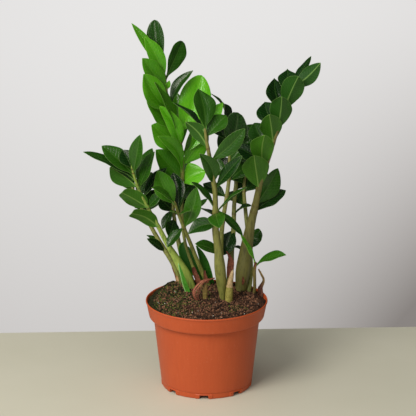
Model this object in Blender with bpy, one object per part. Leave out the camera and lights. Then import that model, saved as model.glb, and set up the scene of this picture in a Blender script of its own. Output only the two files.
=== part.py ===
"""A potted ZZ plant: a plastic grow pot, its soil, leafy fronds, young shoots and dry sheaths.

Metres, +Z up. The origin is the middle of the pot's base, on the surface it stands on, and
-Y is the front. Places on the plant are read along lines of sight from one viewpoint: a column
and a row of a picture 416 pixels square, and how far in front of the pot's axis they lie.
"""

import math

import bpy
import numpy as np
from mathutils.bvhtree import BVHTree

MM = 0.001

# Viewpoint, fitted to the pot's rim and base
EYE = np.array([0.0018, -2.800, 1.113])
LOOKS_AT = np.array([0.0018, 0.0, 0.250])
FOCAL_PIXELS = 2193.0
PICTURE_CENTRE = 208.0

# Pot, a 6 inch azalea pot
POT_HEIGHT = 0.121
RIM_RADIUS = 0.0825
COLLAR_HEIGHT = 0.022
COLLAR_FOOT_RADIUS = 0.0778
NECK_RADIUS = 0.0720
BASE_RADIUS = 0.0613
FOOT_RING_HEIGHT = 0.008
WALL = 0.0016
PAD_RADIUS = 0.036
CHANNEL_HEIGHT = 0.0065
POT_SEGMENTS = 36
NOTCH_COUNT = 8
NOTCH_WIDTH = 0.0125
NOTCH_HEIGHT = 0.0050
NOTCH_TURN = math.radians(-93.4)
DRAIN_RADIUS = 0.004
DRAIN_CIRCLE = 0.047

# Soil
SOIL_EDGE = 0.1172
SOIL_CROWN = 0.0040
SOIL_TILT = 0.0028
SOIL_RINGS = (0.90, 0.72, 0.50, 0.26)
SOIL_WAVES = (0.0011, 0.0007)
SOIL_CLEARANCE = 0.00125
SOIL_SEGMENTS = 32

# Plant
GAP = 0.00035
STEM_SIDES = 7
STEM_RINGS = 5
STEM_BURIED = 0.017
BLADE_THICKNESS = 0.0008
STALK_SHARE = 0.05
ROOT_HALF_WIDTH = 0.0016
TIP_HALF_WIDTH = 0.0005
LEAF_STATIONS = np.array([0.0, 0.13, 0.40, 0.72, 1.0])
SHOOT_RINGS = 12
SHEATH_RINGS = 11
SHEATH_BURIED = 0.011
SHEATH_THICKNESS = 0.0011
SHEATH_CUP = 0.35
FOOT_LEAN = 0.93
FOOT_TAPER = 0.9
FOOT_ROWS = 9
HOLE_TOP = 0.012
HOLE_GROWTH = 1.35 * GAP

# Room kept between leaflets and between a leaflet and another stem, and the changes in millimetres
# tried in turn to how far forward a leaflet's tip lies
LEAF_CLEARANCE = 0.0016
STEM_CLEARANCE = 0.0010
TIP_CHANGES = (0, 5, -5, 10, -10, 15, -15, 20, -20, 26, -26, 32, -32)


def sight(column, row, near):
    """The point seen at a column and row, near millimetres in front of the pot's axis."""
    forward = (LOOKS_AT - EYE) / np.linalg.norm(LOOKS_AT - EYE)
    right = np.array([1.0, 0.0, 0.0])
    up = np.cross(right, forward)
    ray = forward * FOCAL_PIXELS + right * (column - PICTURE_CENTRE) - up * (row - PICTURE_CENTRE)
    return EYE + ray * ((-near * MM - EYE[1]) / ray[1])


def smooth_path(points, count):
    """A cubic curve through the points, sampled at even steps of their chord lengths."""
    points = np.asarray(points, float)
    steps = np.linalg.norm(np.diff(points[:, :3], axis=0), axis=1)
    knots = np.concatenate([[0.0], np.cumsum(steps)])
    slopes = np.gradient(points, knots, axis=0)
    at = np.linspace(0.0, knots[-1], count)
    i = np.clip(np.searchsorted(knots, at, side="right") - 1, 0, len(knots) - 2)
    span = (knots[i + 1] - knots[i])[:, None]
    s = (at - knots[i])[:, None] / span
    start = (2 * s**3 - 3 * s**2 + 1) * points[i] + (s**3 - 2 * s**2 + s) * span * slopes[i]
    end = (3 * s**2 - 2 * s**3) * points[i + 1] + (s**3 - s**2) * span * slopes[i + 1]
    return start + end


def new_object(name, vertices, faces):
    """An object made from lists of vertices and faces."""
    mesh = bpy.data.meshes.new(name)
    mesh.from_pydata([tuple(v) for v in vertices], [], faces)
    mesh.update()
    result = bpy.data.objects.new(name, mesh)
    bpy.context.scene.collection.objects.link(result)
    return result


def loft_faces(rings, sides):
    """Triangles that join rings of the same number of points, the ends capped from their second points."""
    faces = []
    for ring in range(rings - 1):
        for side in range(sides):
            a = ring * sides + side
            b = ring * sides + (side + 1) % sides
            faces.append((a, b, b + sides))
            faces.append((a, b + sides, a + sides))
    last = (rings - 1) * sides
    for side in range(2, sides):
        following = (side + 1) % sides
        faces.append((1, following, side))
        faces.append((last + 1, last + side, last + following))
    return faces


def tube_rings(path, radii, sides=STEM_SIDES):
    """Rings of points round a path, each square to it."""
    along = np.gradient(path, axis=0)
    along = along / np.linalg.norm(along, axis=1, keepdims=True)
    across = np.cross(np.array([0.0, 1.0, 0.0]), along)
    across = across / np.linalg.norm(across, axis=1, keepdims=True)
    other = np.cross(along, across)
    turn = np.arange(sides) * 2 * math.pi / sides
    circle = np.cos(turn)[:, None] * across[:, None] + np.sin(turn)[:, None] * other[:, None]
    return path[:, None] + circle * np.asarray(radii)[:, None, None]


def blade_rings(middle, across, upper, half_widths, cup, thickness):
    """Rings of points round a thin blade: three across, its edges raised by the cup, and three below."""
    widths = np.asarray(half_widths)[:, None]
    left = middle - across * widths + upper * widths * cup
    right = middle + across * widths + upper * widths * cup
    below = upper * thickness
    return np.stack([left, middle, right, right - below, middle - below, left - below], axis=1)


def solid(name, rings):
    """A closed solid through rings of points."""
    return new_object(name, rings.reshape(-1, 3), loft_faces(len(rings), rings.shape[1]))


def search_tree(rings):
    """A search tree of the solid through the rings, to test what it crosses."""
    points = [tuple(point) for point in rings.reshape(-1, 3)]
    return BVHTree.FromPolygons(points, loft_faces(len(rings), rings.shape[1]))


def leaf(root_row, tip_column, tip_row, toward, wide, face,
         arch=0.045, sway=0.0, cup=0.25, twist=0, peak=0.55, blunt=0.0):
    """One leaflet: where it leaves the stem, where its tip is seen, and how it is turned.

    toward is how many millimetres nearer than its root the tip lies. wide is the blade's width in
    millimetres. face is the turn about the chord: 0 shows the upper side, 180 the under side, and
    90 turns the upper side to the right of the way the leaflet points. arch and sway bow the
    midrib up and sideways by a share of the length, cup raises the edges, and twist turns the tip
    end further. peak is how far along the blade is widest, and blunt rounds its tip off, or
    draws it out where it is below zero.
    """
    return dict(root_row=root_row, tip=(tip_column, tip_row), toward=toward, wide=wide, face=face,
                arch=arch, sway=sway, cup=cup, twist=twist, peak=peak, blunt=blunt)


# Fronds. Each stem point is a column, a row, millimetres in front of the axis, and a diameter in
# millimetres, from the soil up. The leaflets follow from the top down.
FRONDS = {
    "frond_tall_left": dict(
        stem=[(201.0, 287.0, -51, 9.5), (193.5, 268, -54, 8.0), (184.6, 240, -58, 6.5),
              (182.0, 212, -60, 6.0), (182.5, 175, -60, 5.6), (181.0, 148, -58, 5.2),
              (171.5, 115, -53, 4.6), (166.5, 92, -48, 3.8), (165.0, 76, -45, 2.8)],
        leaves=[
            leaf(78, 131.4, 23.4, 12, 25, 10, sway=0.045, peak=0.42, blunt=-2.2),
            leaf(77, 154.5, 19.8, -18, 23.5, -12, sway=-0.03, cup=0.3, peak=0.68, blunt=0.3),
            leaf(80, 182.7, 41.3, -30, 23, 12, sway=-0.03, peak=0.62, blunt=0.3),
            leaf(96, 142.5, 58.3, 8, 28, 32, sway=-0.06, peak=0.6),
            leaf(107, 192.5, 70.2, -14, 18, -42, sway=-0.07, cup=0.4),
            leaf(112, 142.9, 74.0, 34, 33, 20, sway=-0.07, peak=0.6),
            leaf(137, 155.6, 82.0, 46, 22, 62),
            leaf(136, 201.5, 75.2, -22, 43, -5, sway=0.04, cup=0.15, peak=0.6, blunt=0.2),
            leaf(127, 147.0, 101.3, 26, 37, 34),
            leaf(147, 160.2, 106.3, 34, 22, 40, sway=0.06, peak=0.42, blunt=0.3),
            leaf(150, 151.6, 125.0, 10, 42, 25),
            leaf(150, 176.0, 92.0, -30, 30, 0),
            leaf(157, 223.0, 102.5, -34, 27, -8),
            leaf(157, 190.3, 131.0, 10, 12, 60),
            leaf(166, 205.0, 130.0, -12, 32, -20, cup=0.2),
            leaf(174, 158.4, 136.4, 30, 21, 38, sway=0.12),
            leaf(180, 155.8, 149.8, 4, 33, 25, sway=-0.03),
            leaf(184, 205.5, 171.5, 4, 32, -20, sway=-0.1),
            leaf(90, 169.5, 80.5, 6, 7, 0),
        ],
    ),
    "frond_left": dict(
        stem=[(191.0, 289.0, -43, 13.0), (186.0, 276, -43, 14.5), (175.8, 258, -40, 10.5),
              (166.8, 243, -35, 7.2), (158.0, 226, -29, 5.8), (148.0, 208, -21, 4.6),
              (138.6, 189, -13, 3.6), (133.2, 173, -7, 3.0), (131.5, 165, -4, 2.6)],
        leaves=[
            leaf(179, 83.6, 151.6, 6, 24, 50),
            leaf(175, 101.7, 146.0, -14, 28, 32),
            leaf(169, 122.3, 150.0, -30, 24, 20),
            leaf(173, 140.5, 134.6, 16, 22, -32, arch=0.03, sway=0.05),
            leaf(189, 154.6, 151.8, 8, 26, -55, sway=0.05, cup=0.2),
            leaf(185, 152.3, 148.5, -26, 22, -35),
            leaf(188, 109.3, 167.6, 14, 26, 218, sway=-0.08, cup=0.6),
            leaf(207.5, 121.7, 192.5, 26, 26, 152, arch=0.04, peak=0.42, blunt=0.3),
            leaf(208, 161.5, 193.5, 6, 15, -34),
            leaf(227, 131.0, 213.0, 38, 19, 150, sway=-0.08, peak=0.45, blunt=0.3),
            leaf(198, 166.8, 167.5, -30, 20, -45),
        ],
    ),
    "frond_left_back": dict(
        stem=[(180.0, 284.0, -55, 7.0), (175.2, 268, -58, 6.8), (168.5, 256, -62, 6.5),
              (161.0, 244, -68, 6.2), (151.8, 228, -76, 5.6), (143.5, 212, -84, 4.8),
              (136.0, 196, -91, 4.0), (130.0, 182, -97, 2.8)],
        leaves=[
            leaf(183, 114.0, 161.0, -18, 26, 25),
            leaf(184, 140.0, 152.0, -24, 23, -10),
            leaf(193, 118.0, 173.0, -10, 24, 35),
            leaf(198, 152.0, 172.0, -30, 27, -20),
            leaf(212, 138.0, 205.5, -16, 18, 40),
            leaf(213, 160.0, 190.0, -36, 26, -15),
            leaf(252, 146.8, 238.8, 16, 13, 35),
            leaf(246, 146.5, 235.4, -14, 13, 62),
        ],
    ),
    "frond_back_left": dict(
        stem=[(192.5, 283.5, -62, 7.0), (184.5, 264, -70, 7.5), (178.5, 242, -80, 6.5),
              (174.5, 220, -90, 5.2), (172.5, 202, -98, 4.2), (171.5, 188, -104, 2.8)],
        leaves=[
            leaf(189, 165.0, 154.0, -12, 27, 15),
            leaf(190, 188.0, 156.0, -20, 27, -15),
            leaf(203, 196.0, 180.0, -24, 28, -15),
            leaf(212, 157.5, 197.0, -6, 25, 30),
            leaf(215, 196.0, 200.0, -30, 28, -20),
            leaf(209, 162.5, 229.0, 24, 14, 30),
            leaf(219, 168.5, 236.8, 20, 20, -10),
        ],
    ),
    "frond_mid_left": dict(
        stem=[(208.8, 287.5, -50, 8.6), (203.6, 275.5, -49, 8.8), (196.9, 259.7, -45, 8.0),
              (189.8, 242, -39, 7.0), (183.6, 227, -32, 6.2), (178.5, 214, -26, 5.4),
              (174.2, 201, -20, 3.6)],
        leaves=[
            leaf(205, 157.5, 170.5, 6, 29, 10, sway=-0.06),
            leaf(204, 152.6, 187.0, 32, 21, 64, arch=0.04),
            leaf(212, 173.0, 172.5, -30, 21, -14, sway=0.04, peak=0.6),
            leaf(213, 177.5, 181.0, -30, 16, 15),
            leaf(228, 197.0, 187.0, 12, 19, -14, cup=0.35),
            leaf(214, 190.5, 210.5, 10, 14, -72, arch=0.02),
            leaf(213.5, 170.0, 211.3, 10, 8, 80),
            leaf(226, 207.5, 198.0, -34, 22, -60),
        ],
    ),
    "frond_centre": dict(
        stem=[(222.4, 299.5, -3, 7.0), (221.5, 283, -2, 13.5), (220.0, 268, 0, 15.0),
              (218.3, 250, 3, 11.0), (215.6, 230, 8, 9.4), (215.4, 211, 13, 7.6),
              (215.0, 192, 18, 6.6), (213.0, 178, 22, 6.0), (209.6, 157, 29, 5.4),
              (206.5, 140, 35, 4.4), (204.8, 128, 39, 3.0)],
        leaves=[
            leaf(129, 198.2, 88.7, -28, 30, -8, arch=0.02, sway=0.06, blunt=-0.15),
            leaf(137, 226.3, 115.6, -22, 27, -25, cup=0.35),
            leaf(131, 173.0, 102.5, -28, 24, 75),
            leaf(148.3, 185.6, 121.6, 14, 22, 158, sway=-0.06, peak=0.48),
            leaf(161, 245.0, 128.5, 2, 26, -40, arch=0.02, sway=0.04, cup=0.15),
            leaf(184, 199.5, 153.5, 24, 20, 20, arch=0.03, sway=0.07, peak=0.45),
            leaf(189, 241.6, 155.9, 12, 20, -45, arch=0.02, cup=0.15),
            leaf(209, 191.5, 181.9, 4, 22, 70, arch=0.05),
            leaf(212, 247.0, 187.0, 12, 21, -82, arch=0.02),
            leaf(213, 219.5, 228.3, 40, 24, 0, arch=0.1),
            leaf(224, 187.8, 233.6, 8, 24, 35, sway=0.1, peak=0.38),
            leaf(209, 243.0, 235.5, -8, 13, -35),
        ],
    ),
    "frond_back_centre": dict(
        stem=[(220.8, 287.5, -46, 8.0), (220.5, 262, -50, 8.2), (221.0, 240, -56, 6.8),
              (223.2, 218, -63, 6.0), (226.5, 198, -70, 5.6), (229.0, 178, -78, 5.0),
              (229.5, 158, -86, 4.4), (228.5, 140, -93, 3.8), (227.0, 126, -98, 2.8)],
        leaves=[
            leaf(127, 211.0, 93.0, -26, 24, 82, arch=0.14),
            leaf(128, 224.4, 103.8, -24, 24, 62, cup=0.3),
            leaf(141, 203.0, 112.0, -20, 22, 15),
            leaf(146, 238.0, 112.4, -10, 32, -6, sway=0.07, blunt=0.45),
            leaf(162, 252.0, 138.0, -4, 28, -20),
            leaf(176, 203.0, 162.0, -18, 27, 25),
            leaf(181, 250.0, 164.0, -22, 27, -30),
            leaf(197, 203.0, 184.0, -12, 20, 30),
            leaf(253, 195.5, 243.6, 20, 20, 40),
            leaf(222, 199.0, 208.0, -26, 22, 80),
        ],
    ),
    "frond_back": dict(
        stem=[(229.2, 285.0, -57, 8.4), (230.4, 268, -61, 9.5), (231.6, 250, -67, 7.4),
              (233.6, 229, -76, 6.4), (234.2, 205, -88, 5.8), (236.2, 182, -100, 5.2),
              (238.4, 162, -112, 4.2), (239.6, 149, -119, 2.8)],
        leaves=[
            leaf(152, 243.5, 122.0, -14, 27, 8),
            leaf(151, 257.0, 124.0, -20, 28, -15),
            leaf(163, 219.0, 134.0, -16, 29, 20),
            leaf(166, 262.0, 142.0, -14, 29, -20),
            leaf(182, 214.0, 158.0, -18, 29, 20),
            leaf(190, 262.0, 170.0, -24, 28, -25),
            leaf(214, 251.5, 206.0, 14, 18, -80, arch=0.1),
            leaf(229, 223.5, 255.0, 24, 27, 20),
            leaf(246, 243.0, 250.0, 10, 14, -72, arch=0.04),
        ],
    ),
    "frond_right": dict(
        stem=[(240.8, 288.5, -41, 15.5), (242.8, 272, -43, 20.0), (246.2, 250, -46, 17.5),
              (250.4, 226, -45, 12.5), (255.2, 206, -43, 9.6), (259.0, 188, -41, 8.0),
              (264.2, 170, -39, 7.0), (269.8, 154, -37, 6.4), (274.6, 138, -35, 5.8),
              (280.0, 122, -33, 5.2), (285.2, 107, -31, 4.6), (291.0, 93, -28, 4.0),
              (297.0, 80, -25, 2.8)],
        leaves=[
            leaf(88, 320.7, 62.8, 10, 20, 142, arch=0.03, sway=-0.06),
            leaf(81, 311.0, 56.2, -14, 18, -60, cup=0.05),
            leaf(107, 298.5, 76.2, 26, 31, 178, sway=0.03, peak=0.5, blunt=0.1),
            leaf(97, 287.4, 68.5, -34, 29, -6, peak=0.53, blunt=-0.6),
            leaf(125, 281.8, 96.8, 28, 30, 180, sway=0.05, peak=0.5),
            leaf(106, 274.4, 78.0, -30, 32, 14, sway=-0.06, peak=0.5, blunt=-0.4),
            leaf(142, 269.3, 114.2, 28, 29.5, 184, peak=0.5),
            leaf(128, 264.8, 101.6, -28, 33, 16, sway=-0.1, blunt=-0.2),
            leaf(166, 264.6, 134.5, 32, 32, 178, sway=0.09, peak=0.52),
            leaf(150, 254.2, 122.6, -30, 31, 16, sway=-0.07),
            leaf(189, 253.9, 155.3, 36, 36.5, 180, peak=0.5),
            leaf(165, 236.0, 146.0, -8, 29, 28),
            leaf(206, 278.0, 168.3, -14, 28, -10),
            leaf(212, 285.6, 190.0, -16, 26, -35),
        ],
    ),
    "frond_back_right": dict(
        stem=[(248.6, 291.5, -43, 6.4), (250.6, 268, -61, 6.6), (248.6, 240, -72, 6.0),
              (245.6, 212, -84, 5.4), (244.0, 188, -95, 4.6), (246.0, 171, -103, 3.0)],
        leaves=[
            leaf(172, 251.0, 140.0, -20, 27, 5),
            leaf(173, 266.0, 152.0, -22, 26, -20),
            leaf(184, 229.0, 164.0, -16, 27, 25),
            leaf(192, 268.0, 174.0, -18, 26, -25),
            leaf(206, 229.0, 192.0, -24, 26, 30),
            leaf(236, 261.3, 240.5, 12, 28, -10, blunt=0.5),
        ],
    ),
    "frond_low_right": dict(
        stem=[(254.2, 292.5, -30, 4.6), (254.6, 280, -28, 4.4), (254.6, 268, -26, 4.6),
              (256.4, 262, -25, 3.0)],
        leaves=[
            leaf(263.5, 241.0, 234.6, -6, 16, 68, arch=0.03, cup=0.05),
            leaf(264.5, 286.0, 255.0, 12, 24, -61, arch=0.06, cup=0.3),
        ],
    ),
}

# Shoots are round spears, from the soil up, in the same four numbers as a stem
SHOOTS = {
    "shoot_front": [(228.6, 302.0, 4, 10.5), (229.2, 293, 4, 11.0), (230.0, 286, 4, 8.6),
                    (230.8, 276, 4, 6.0), (231.6, 268.5, 4, 2.2)],
    "shoot_small": [(206.0, 299.5, -4, 5.6), (205.8, 293, -4, 6.0), (205.4, 288, -4, 4.4),
                    (204.8, 284, -4, 1.8)],
}

# Sheaths are blades that stand in the soil: a column, a row, millimetres in front of the axis and a
# width in millimetres, from the soil up, then the way the inner side faces
SHEATHS = {
    "sheath_left": dict(points=[(189.4, 293.0, -27, 9.6), (186.0, 284, -26, 8.4),
                                    (181.8, 273, -25, 5.4), (178.4, 263.5, -25, 1.6)], face=-32),
    "sheath_back_left": dict(points=[(203.4, 283.5, -62, 11.0), (193.0, 266, -66, 18.0),
                                    (185.6, 252, -70, 18.0), (183.3, 242, -74, 3.0)], face=10),
    "sheath_back_centre": dict(points=[(211.6, 285.0, -62, 10.0), (209.6, 270, -60, 15.0),
                                    (203.0, 256, -57, 13.0), (193.9, 243, -54, 2.4)], face=30),
    "husk_front": dict(points=[(198.5, 301.0, 3, 13.0), (197.5, 292, 4, 16.0),
                                    (200.5, 284.5, 2, 12.0), (206.0, 280.0, -4, 6.0),
                                    (214.0, 278, -10, 1.6)], face=-30),
    "husk_right": dict(points=[(259.6, 294.0, -20, 6.0), (260.8, 286, -19, 6.4),
                                    (263.8, 279, -18, 5.0), (261.4, 274, -18, 4.0),
                                    (258.2, 269, -18, 1.6)], face=20),
}

COLOURS = {
    "pot": ((0.48, 0.105, 0.035), 0.55),
    "soil": ((0.045, 0.028, 0.018), 0.95),
    "frond": ((0.030, 0.115, 0.014), 0.35),
    "shoot": ((0.26, 0.24, 0.07), 0.55),
    "sheath": ((0.10, 0.28, 0.04), 0.45),
    "husk": ((0.22, 0.095, 0.045), 0.85),
}


def paint(target, kind):
    """The piece's own material, in the colour of its kind."""
    colour, roughness = COLOURS[kind]
    material = bpy.data.materials.new(f"{target.name}_material")
    material.use_nodes = True
    shader = material.node_tree.nodes["Principled BSDF"]
    shader.inputs["Base Color"].default_value = (*colour, 1.0)
    shader.inputs["Roughness"].default_value = roughness
    shader.inputs["Metallic"].default_value = 0.0
    target.data.materials.clear()
    target.data.materials.append(material)


def join_with(target, others, operation, solver="EXACT"):
    """Adds the other objects to the target, or cuts them from it, and removes them."""
    group = bpy.data.collections.new(f"{target.name}_group")
    for other in others:
        group.objects.link(other)
    boolean = target.modifiers.new("join", "BOOLEAN")
    boolean.operation = operation
    boolean.operand_type = "COLLECTION"
    boolean.collection = group
    boolean.solver = solver
    evaluated = target.evaluated_get(bpy.context.evaluated_depsgraph_get())
    joined = bpy.data.meshes.new_from_object(evaluated)
    target.modifiers.clear()
    target.data = joined
    bpy.data.collections.remove(group)
    for other in others:
        bpy.data.objects.remove(other)


def soil_height(x, y):
    """Height of the soil: a low uneven mound, higher at the back."""
    radius = inner_radius(SOIL_EDGE)
    r = np.hypot(x, y) / radius
    mound = SOIL_EDGE + SOIL_CROWN * (1 - r**2) + SOIL_TILT * y / radius
    coarse = SOIL_WAVES[0] * np.sin(170 * x + 1.0) * np.cos(150 * y)
    fine = SOIL_WAVES[1] * np.sin(95 * x - 210 * y)
    return mound + coarse + fine


def inner_radius(z):
    """Radius of the pot's inner wall at a height."""
    neck_z = POT_HEIGHT - COLLAR_HEIGHT
    if z <= neck_z:
        share = (z - FOOT_RING_HEIGHT) / (neck_z - FOOT_RING_HEIGHT)
        return BASE_RADIUS + (NECK_RADIUS - BASE_RADIUS) * share - WALL
    return COLLAR_FOOT_RADIUS + (RIM_RADIUS - COLLAR_FOOT_RADIUS) * (z - neck_z) / COLLAR_HEIGHT - WALL


def turned(name, profile, segments):
    """A solid turned from a profile of radius and height that starts and ends on the axis."""
    inner = profile[1:-1]
    turn = np.arange(segments) * 2 * math.pi / segments
    rings = [(r * np.cos(turn), r * np.sin(turn), np.full(segments, z)) for r, z in inner]
    vertices = [(0.0, 0.0, profile[0][1]), (0.0, 0.0, profile[-1][1])]
    for ring in rings:
        vertices.extend(zip(*ring))
    faces = []
    for ring in range(len(inner) - 1):
        for side in range(segments):
            a = 2 + ring * segments + side
            b = 2 + ring * segments + (side + 1) % segments
            faces.append((a, b, b + segments, a + segments))
    last = 2 + (len(inner) - 1) * segments
    for side in range(segments):
        following = (side + 1) % segments
        faces.append((0, 2 + following, 2 + side))
        faces.append((1, last + side, last + following))
    return new_object(name, vertices, faces)


def make_pot():
    """The pot: foot ring, tapered wall, flared collar and rolled lip, drained by notches and holes."""
    neck_z = POT_HEIGHT - COLLAR_HEIGHT
    roof = CHANNEL_HEIGHT
    floor = roof + WALL
    profile = [
        (0.0, 0.0),
        (PAD_RADIUS, 0.0),
        (PAD_RADIUS + 0.0015, roof),
        (BASE_RADIUS - 0.0045, roof),
        (BASE_RADIUS - 0.0038, 0.0),
        (BASE_RADIUS - 0.0012, 0.0),
        (BASE_RADIUS - 0.0004, 0.0010),
        (BASE_RADIUS, FOOT_RING_HEIGHT),
        (BASE_RADIUS + 0.0009, FOOT_RING_HEIGHT + 0.0006),
        (NECK_RADIUS, neck_z - 0.0010),
        (COLLAR_FOOT_RADIUS - 0.0006, neck_z - 0.0006),
        (COLLAR_FOOT_RADIUS, neck_z + 0.0006),
        (RIM_RADIUS - 0.0006, POT_HEIGHT - 0.0030),
        (RIM_RADIUS, POT_HEIGHT - 0.0014),
        (RIM_RADIUS - 0.0007, POT_HEIGHT),
        (RIM_RADIUS - 0.0019, POT_HEIGHT - 0.0004),
        (inner_radius(POT_HEIGHT - 0.0030), POT_HEIGHT - 0.0030),
        (COLLAR_FOOT_RADIUS - WALL - 0.0006, neck_z + 0.0016),
        (NECK_RADIUS - WALL, neck_z + 0.0004),
        (inner_radius(floor + 0.0020), floor + 0.0020),
        (inner_radius(floor) - 0.0012, floor),
        (PAD_RADIUS, floor),
        (PAD_RADIUS - 0.0015, WALL),
        (0.0, WALL),
    ]
    pot = turned("pot", profile, POT_SEGMENTS)
    cutters = []
    half = NOTCH_WIDTH / 2
    corner = 0.002
    outline = [(-half, -0.001), (half, -0.001), (half, NOTCH_HEIGHT - corner), (half - corner, NOTCH_HEIGHT),
               (corner - half, NOTCH_HEIGHT), (-half, NOTCH_HEIGHT - corner)]
    for i in range(NOTCH_COUNT):
        turn = 2 * math.pi * i / NOTCH_COUNT + NOTCH_TURN
        out = np.array([math.cos(turn), math.sin(turn), 0.0])
        side = np.array([-math.sin(turn), math.cos(turn), 0.0])
        up = np.array([0.0, 0.0, 1.0])
        ends = [out * reach for reach in (BASE_RADIUS - 0.008, BASE_RADIUS + 0.004)]
        points = np.array([end + side * s + up * z for end in ends for s, z in outline])
        cutters.append(new_object("notch", points, loft_faces(2, len(outline))))
        hole = out * DRAIN_CIRCLE
        shaft = np.array([hole + up * (roof - 0.002), hole + up * (floor + 0.002)])
        cutters.append(solid("drain", tube_rings(shaft, [DRAIN_RADIUS, DRAIN_RADIUS])))
    join_with(pot, cutters, "DIFFERENCE")
    pot.data.shade_smooth()
    pot.data.set_sharp_from_angle(angle=math.radians(35))
    paint(pot, "pot")


def make_soil(cutters):
    """The soil: it fills the pot just clear of the wall, and has a hole for each stem and sheath."""
    floor = CHANNEL_HEIGHT + WALL + GAP
    neck_z = POT_HEIGHT - COLLAR_HEIGHT
    profile = [
        (0.0, WALL + GAP),
        (PAD_RADIUS - 0.0024, WALL + GAP),
        (PAD_RADIUS - 0.0006, floor),
        (inner_radius(floor) - 0.0022, floor),
        (inner_radius(floor + 0.003) - GAP - 0.0003, floor + 0.003),
        (NECK_RADIUS - WALL - GAP - 0.0003, neck_z + 0.0008),
        (COLLAR_FOOT_RADIUS - WALL - 0.0006 - GAP - 0.0008, neck_z + 0.0020),
        (inner_radius(SOIL_EDGE) - SOIL_CLEARANCE, SOIL_EDGE),
    ]
    edge_radius = profile[-1][0]
    profile += [(edge_radius * share, SOIL_EDGE + 0.001) for share in SOIL_RINGS]
    profile.append((0.0, SOIL_EDGE + 0.001))
    soil = turned("soil", profile, SOIL_SEGMENTS)
    for vertex in soil.data.vertices:
        x, y, z = vertex.co
        if z > SOIL_EDGE + 0.0005:
            vertex.co.z = soil_height(x, y)
        elif z > SOIL_EDGE - 0.0005:
            height = min(soil_height(x, y), POT_HEIGHT - 0.0010)
            share = (inner_radius(height) - SOIL_CLEARANCE) / edge_radius
            vertex.co = (x * share, y * share, height)
    join_with(soil, cutters, "DIFFERENCE")
    paint(soil, "soil")


def buried_path(points, depth, count):
    """A path in space from stem points, with a straight foot below the soil that leans to the axis.

    Its columns are x, y, z, the fourth number of each point, and the picture row.
    """
    rows = [(*sight(c, r, near), size, r) for c, r, near, size in points]
    x, y, z = rows[0][:3]
    foot = (x * FOOT_LEAN, y * FOOT_LEAN, z - depth, rows[0][3] * FOOT_TAPER, rows[0][4] + FOOT_ROWS)
    return smooth_path([foot] + rows, count)


def hole_cutter(name, rings):
    """A cutter for a piece's hole: the rings round it, up to just above the pot, and longer below."""
    centres = rings.mean(axis=1)
    keep = int(np.argmax(centres[:, 2] > POT_HEIGHT + HOLE_TOP)) + 1
    down = centres[0] - centres[1]
    cutter = rings[:keep].copy()
    cutter[0] += down / np.linalg.norm(down) * HOLE_GROWTH
    return solid(name, cutter)


def leaf_mesh_data(frond_path, spec, toward):
    """Midline, across and upper directions and half widths of a leaflet."""
    rows = frond_path[::-1, 4]
    root = np.array([np.interp(spec["root_row"], rows, frond_path[::-1, k]) for k in range(3)])
    near = -root[1] / MM + toward
    tip = sight(*spec["tip"], near)
    length = np.linalg.norm(tip - root)
    chord = (tip - root) / length
    view = (EYE - root) / np.linalg.norm(EYE - root)
    plain = view - chord * (view @ chord)
    plain = plain / np.linalg.norm(plain)
    beside = np.cross(chord, plain)
    t = LEAF_STATIONS[:, None]
    turn = np.radians(spec["face"] + spec["twist"] * np.clip(t - 0.2, 0, 1))
    upper = np.cos(turn) * plain + np.sin(turn) * beside
    across = np.cross(chord, upper)
    bow = np.sin(np.pi * t) * length
    middle = root + chord * length * t + upper[:1] * bow * spec["arch"] + across[:1] * bow * spec["sway"]
    s = np.clip((LEAF_STATIONS - STALK_SHARE) / (1 - STALK_SHARE), 0.0, 1.0)
    swell = math.log(0.5) / math.log(spec["peak"])
    outline = np.abs(np.sin(np.pi * s**swell)) ** (0.8 - spec["blunt"] * s)
    least = np.interp(LEAF_STATIONS, [0.15, 1], [ROOT_HALF_WIDTH, TIP_HALF_WIDTH])
    half = np.maximum(spec["wide"] * MM / 2 * outline, least)
    return middle, across, upper, half


def leaf_proxy(data, cup):
    """A thicker copy of a leaflet, without its root end, to test what it would cross."""
    middle, across, upper, half = [part[1:] for part in data]
    raised = middle + upper * LEAF_CLEARANCE / 2
    return search_tree(blade_rings(raised, across, upper, half, cup, LEAF_CLEARANCE))


def clear_leaf(path, spec, others):
    """A leaflet's data and tree, its tip moved nearer or further until it crosses none of the others."""
    fewest = None
    for change in TIP_CHANGES:
        data = leaf_mesh_data(path, spec, spec["toward"] + change)
        tree = leaf_proxy(data, spec["cup"])
        hits = sum(1 for other in others if tree.overlap(other))
        if fewest is None or hits < fewest[0]:
            fewest = (hits, data, tree)
        if not hits:
            break
    return fewest[1:]


def make_fronds():
    """Every frond: a stem joined to its leaflets, each of them clear of the pieces before it."""
    paths = {}
    stems = {}
    trees = {}
    cutters = []
    for name, frond in FRONDS.items():
        path = buried_path(frond["stem"], STEM_BURIED, STEM_RINGS + len(frond["stem"]))
        radii = path[:, 3] * MM / 2
        stems[name] = solid(name, tube_rings(path[:, :3], radii))
        cutters.append(hole_cutter(f"{name}_hole", tube_rings(path[:, :3], radii + HOLE_GROWTH)))
        trees[name] = search_tree(tube_rings(path[:, :3], radii + STEM_CLEARANCE))
        paths[name] = path
    placed = []
    for name, frond in FRONDS.items():
        others = [tree for other, tree in trees.items() if other != name]
        blades = []
        for spec in frond["leaves"]:
            data, tree = clear_leaf(paths[name], spec, others + placed)
            placed.append(tree)
            rings = blade_rings(*data, spec["cup"], BLADE_THICKNESS)
            blades.append(solid(f"{name}_leaf", rings))
        join_with(stems[name], blades, "UNION", "MANIFOLD")
        paint(stems[name], "frond")
    return cutters


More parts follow.
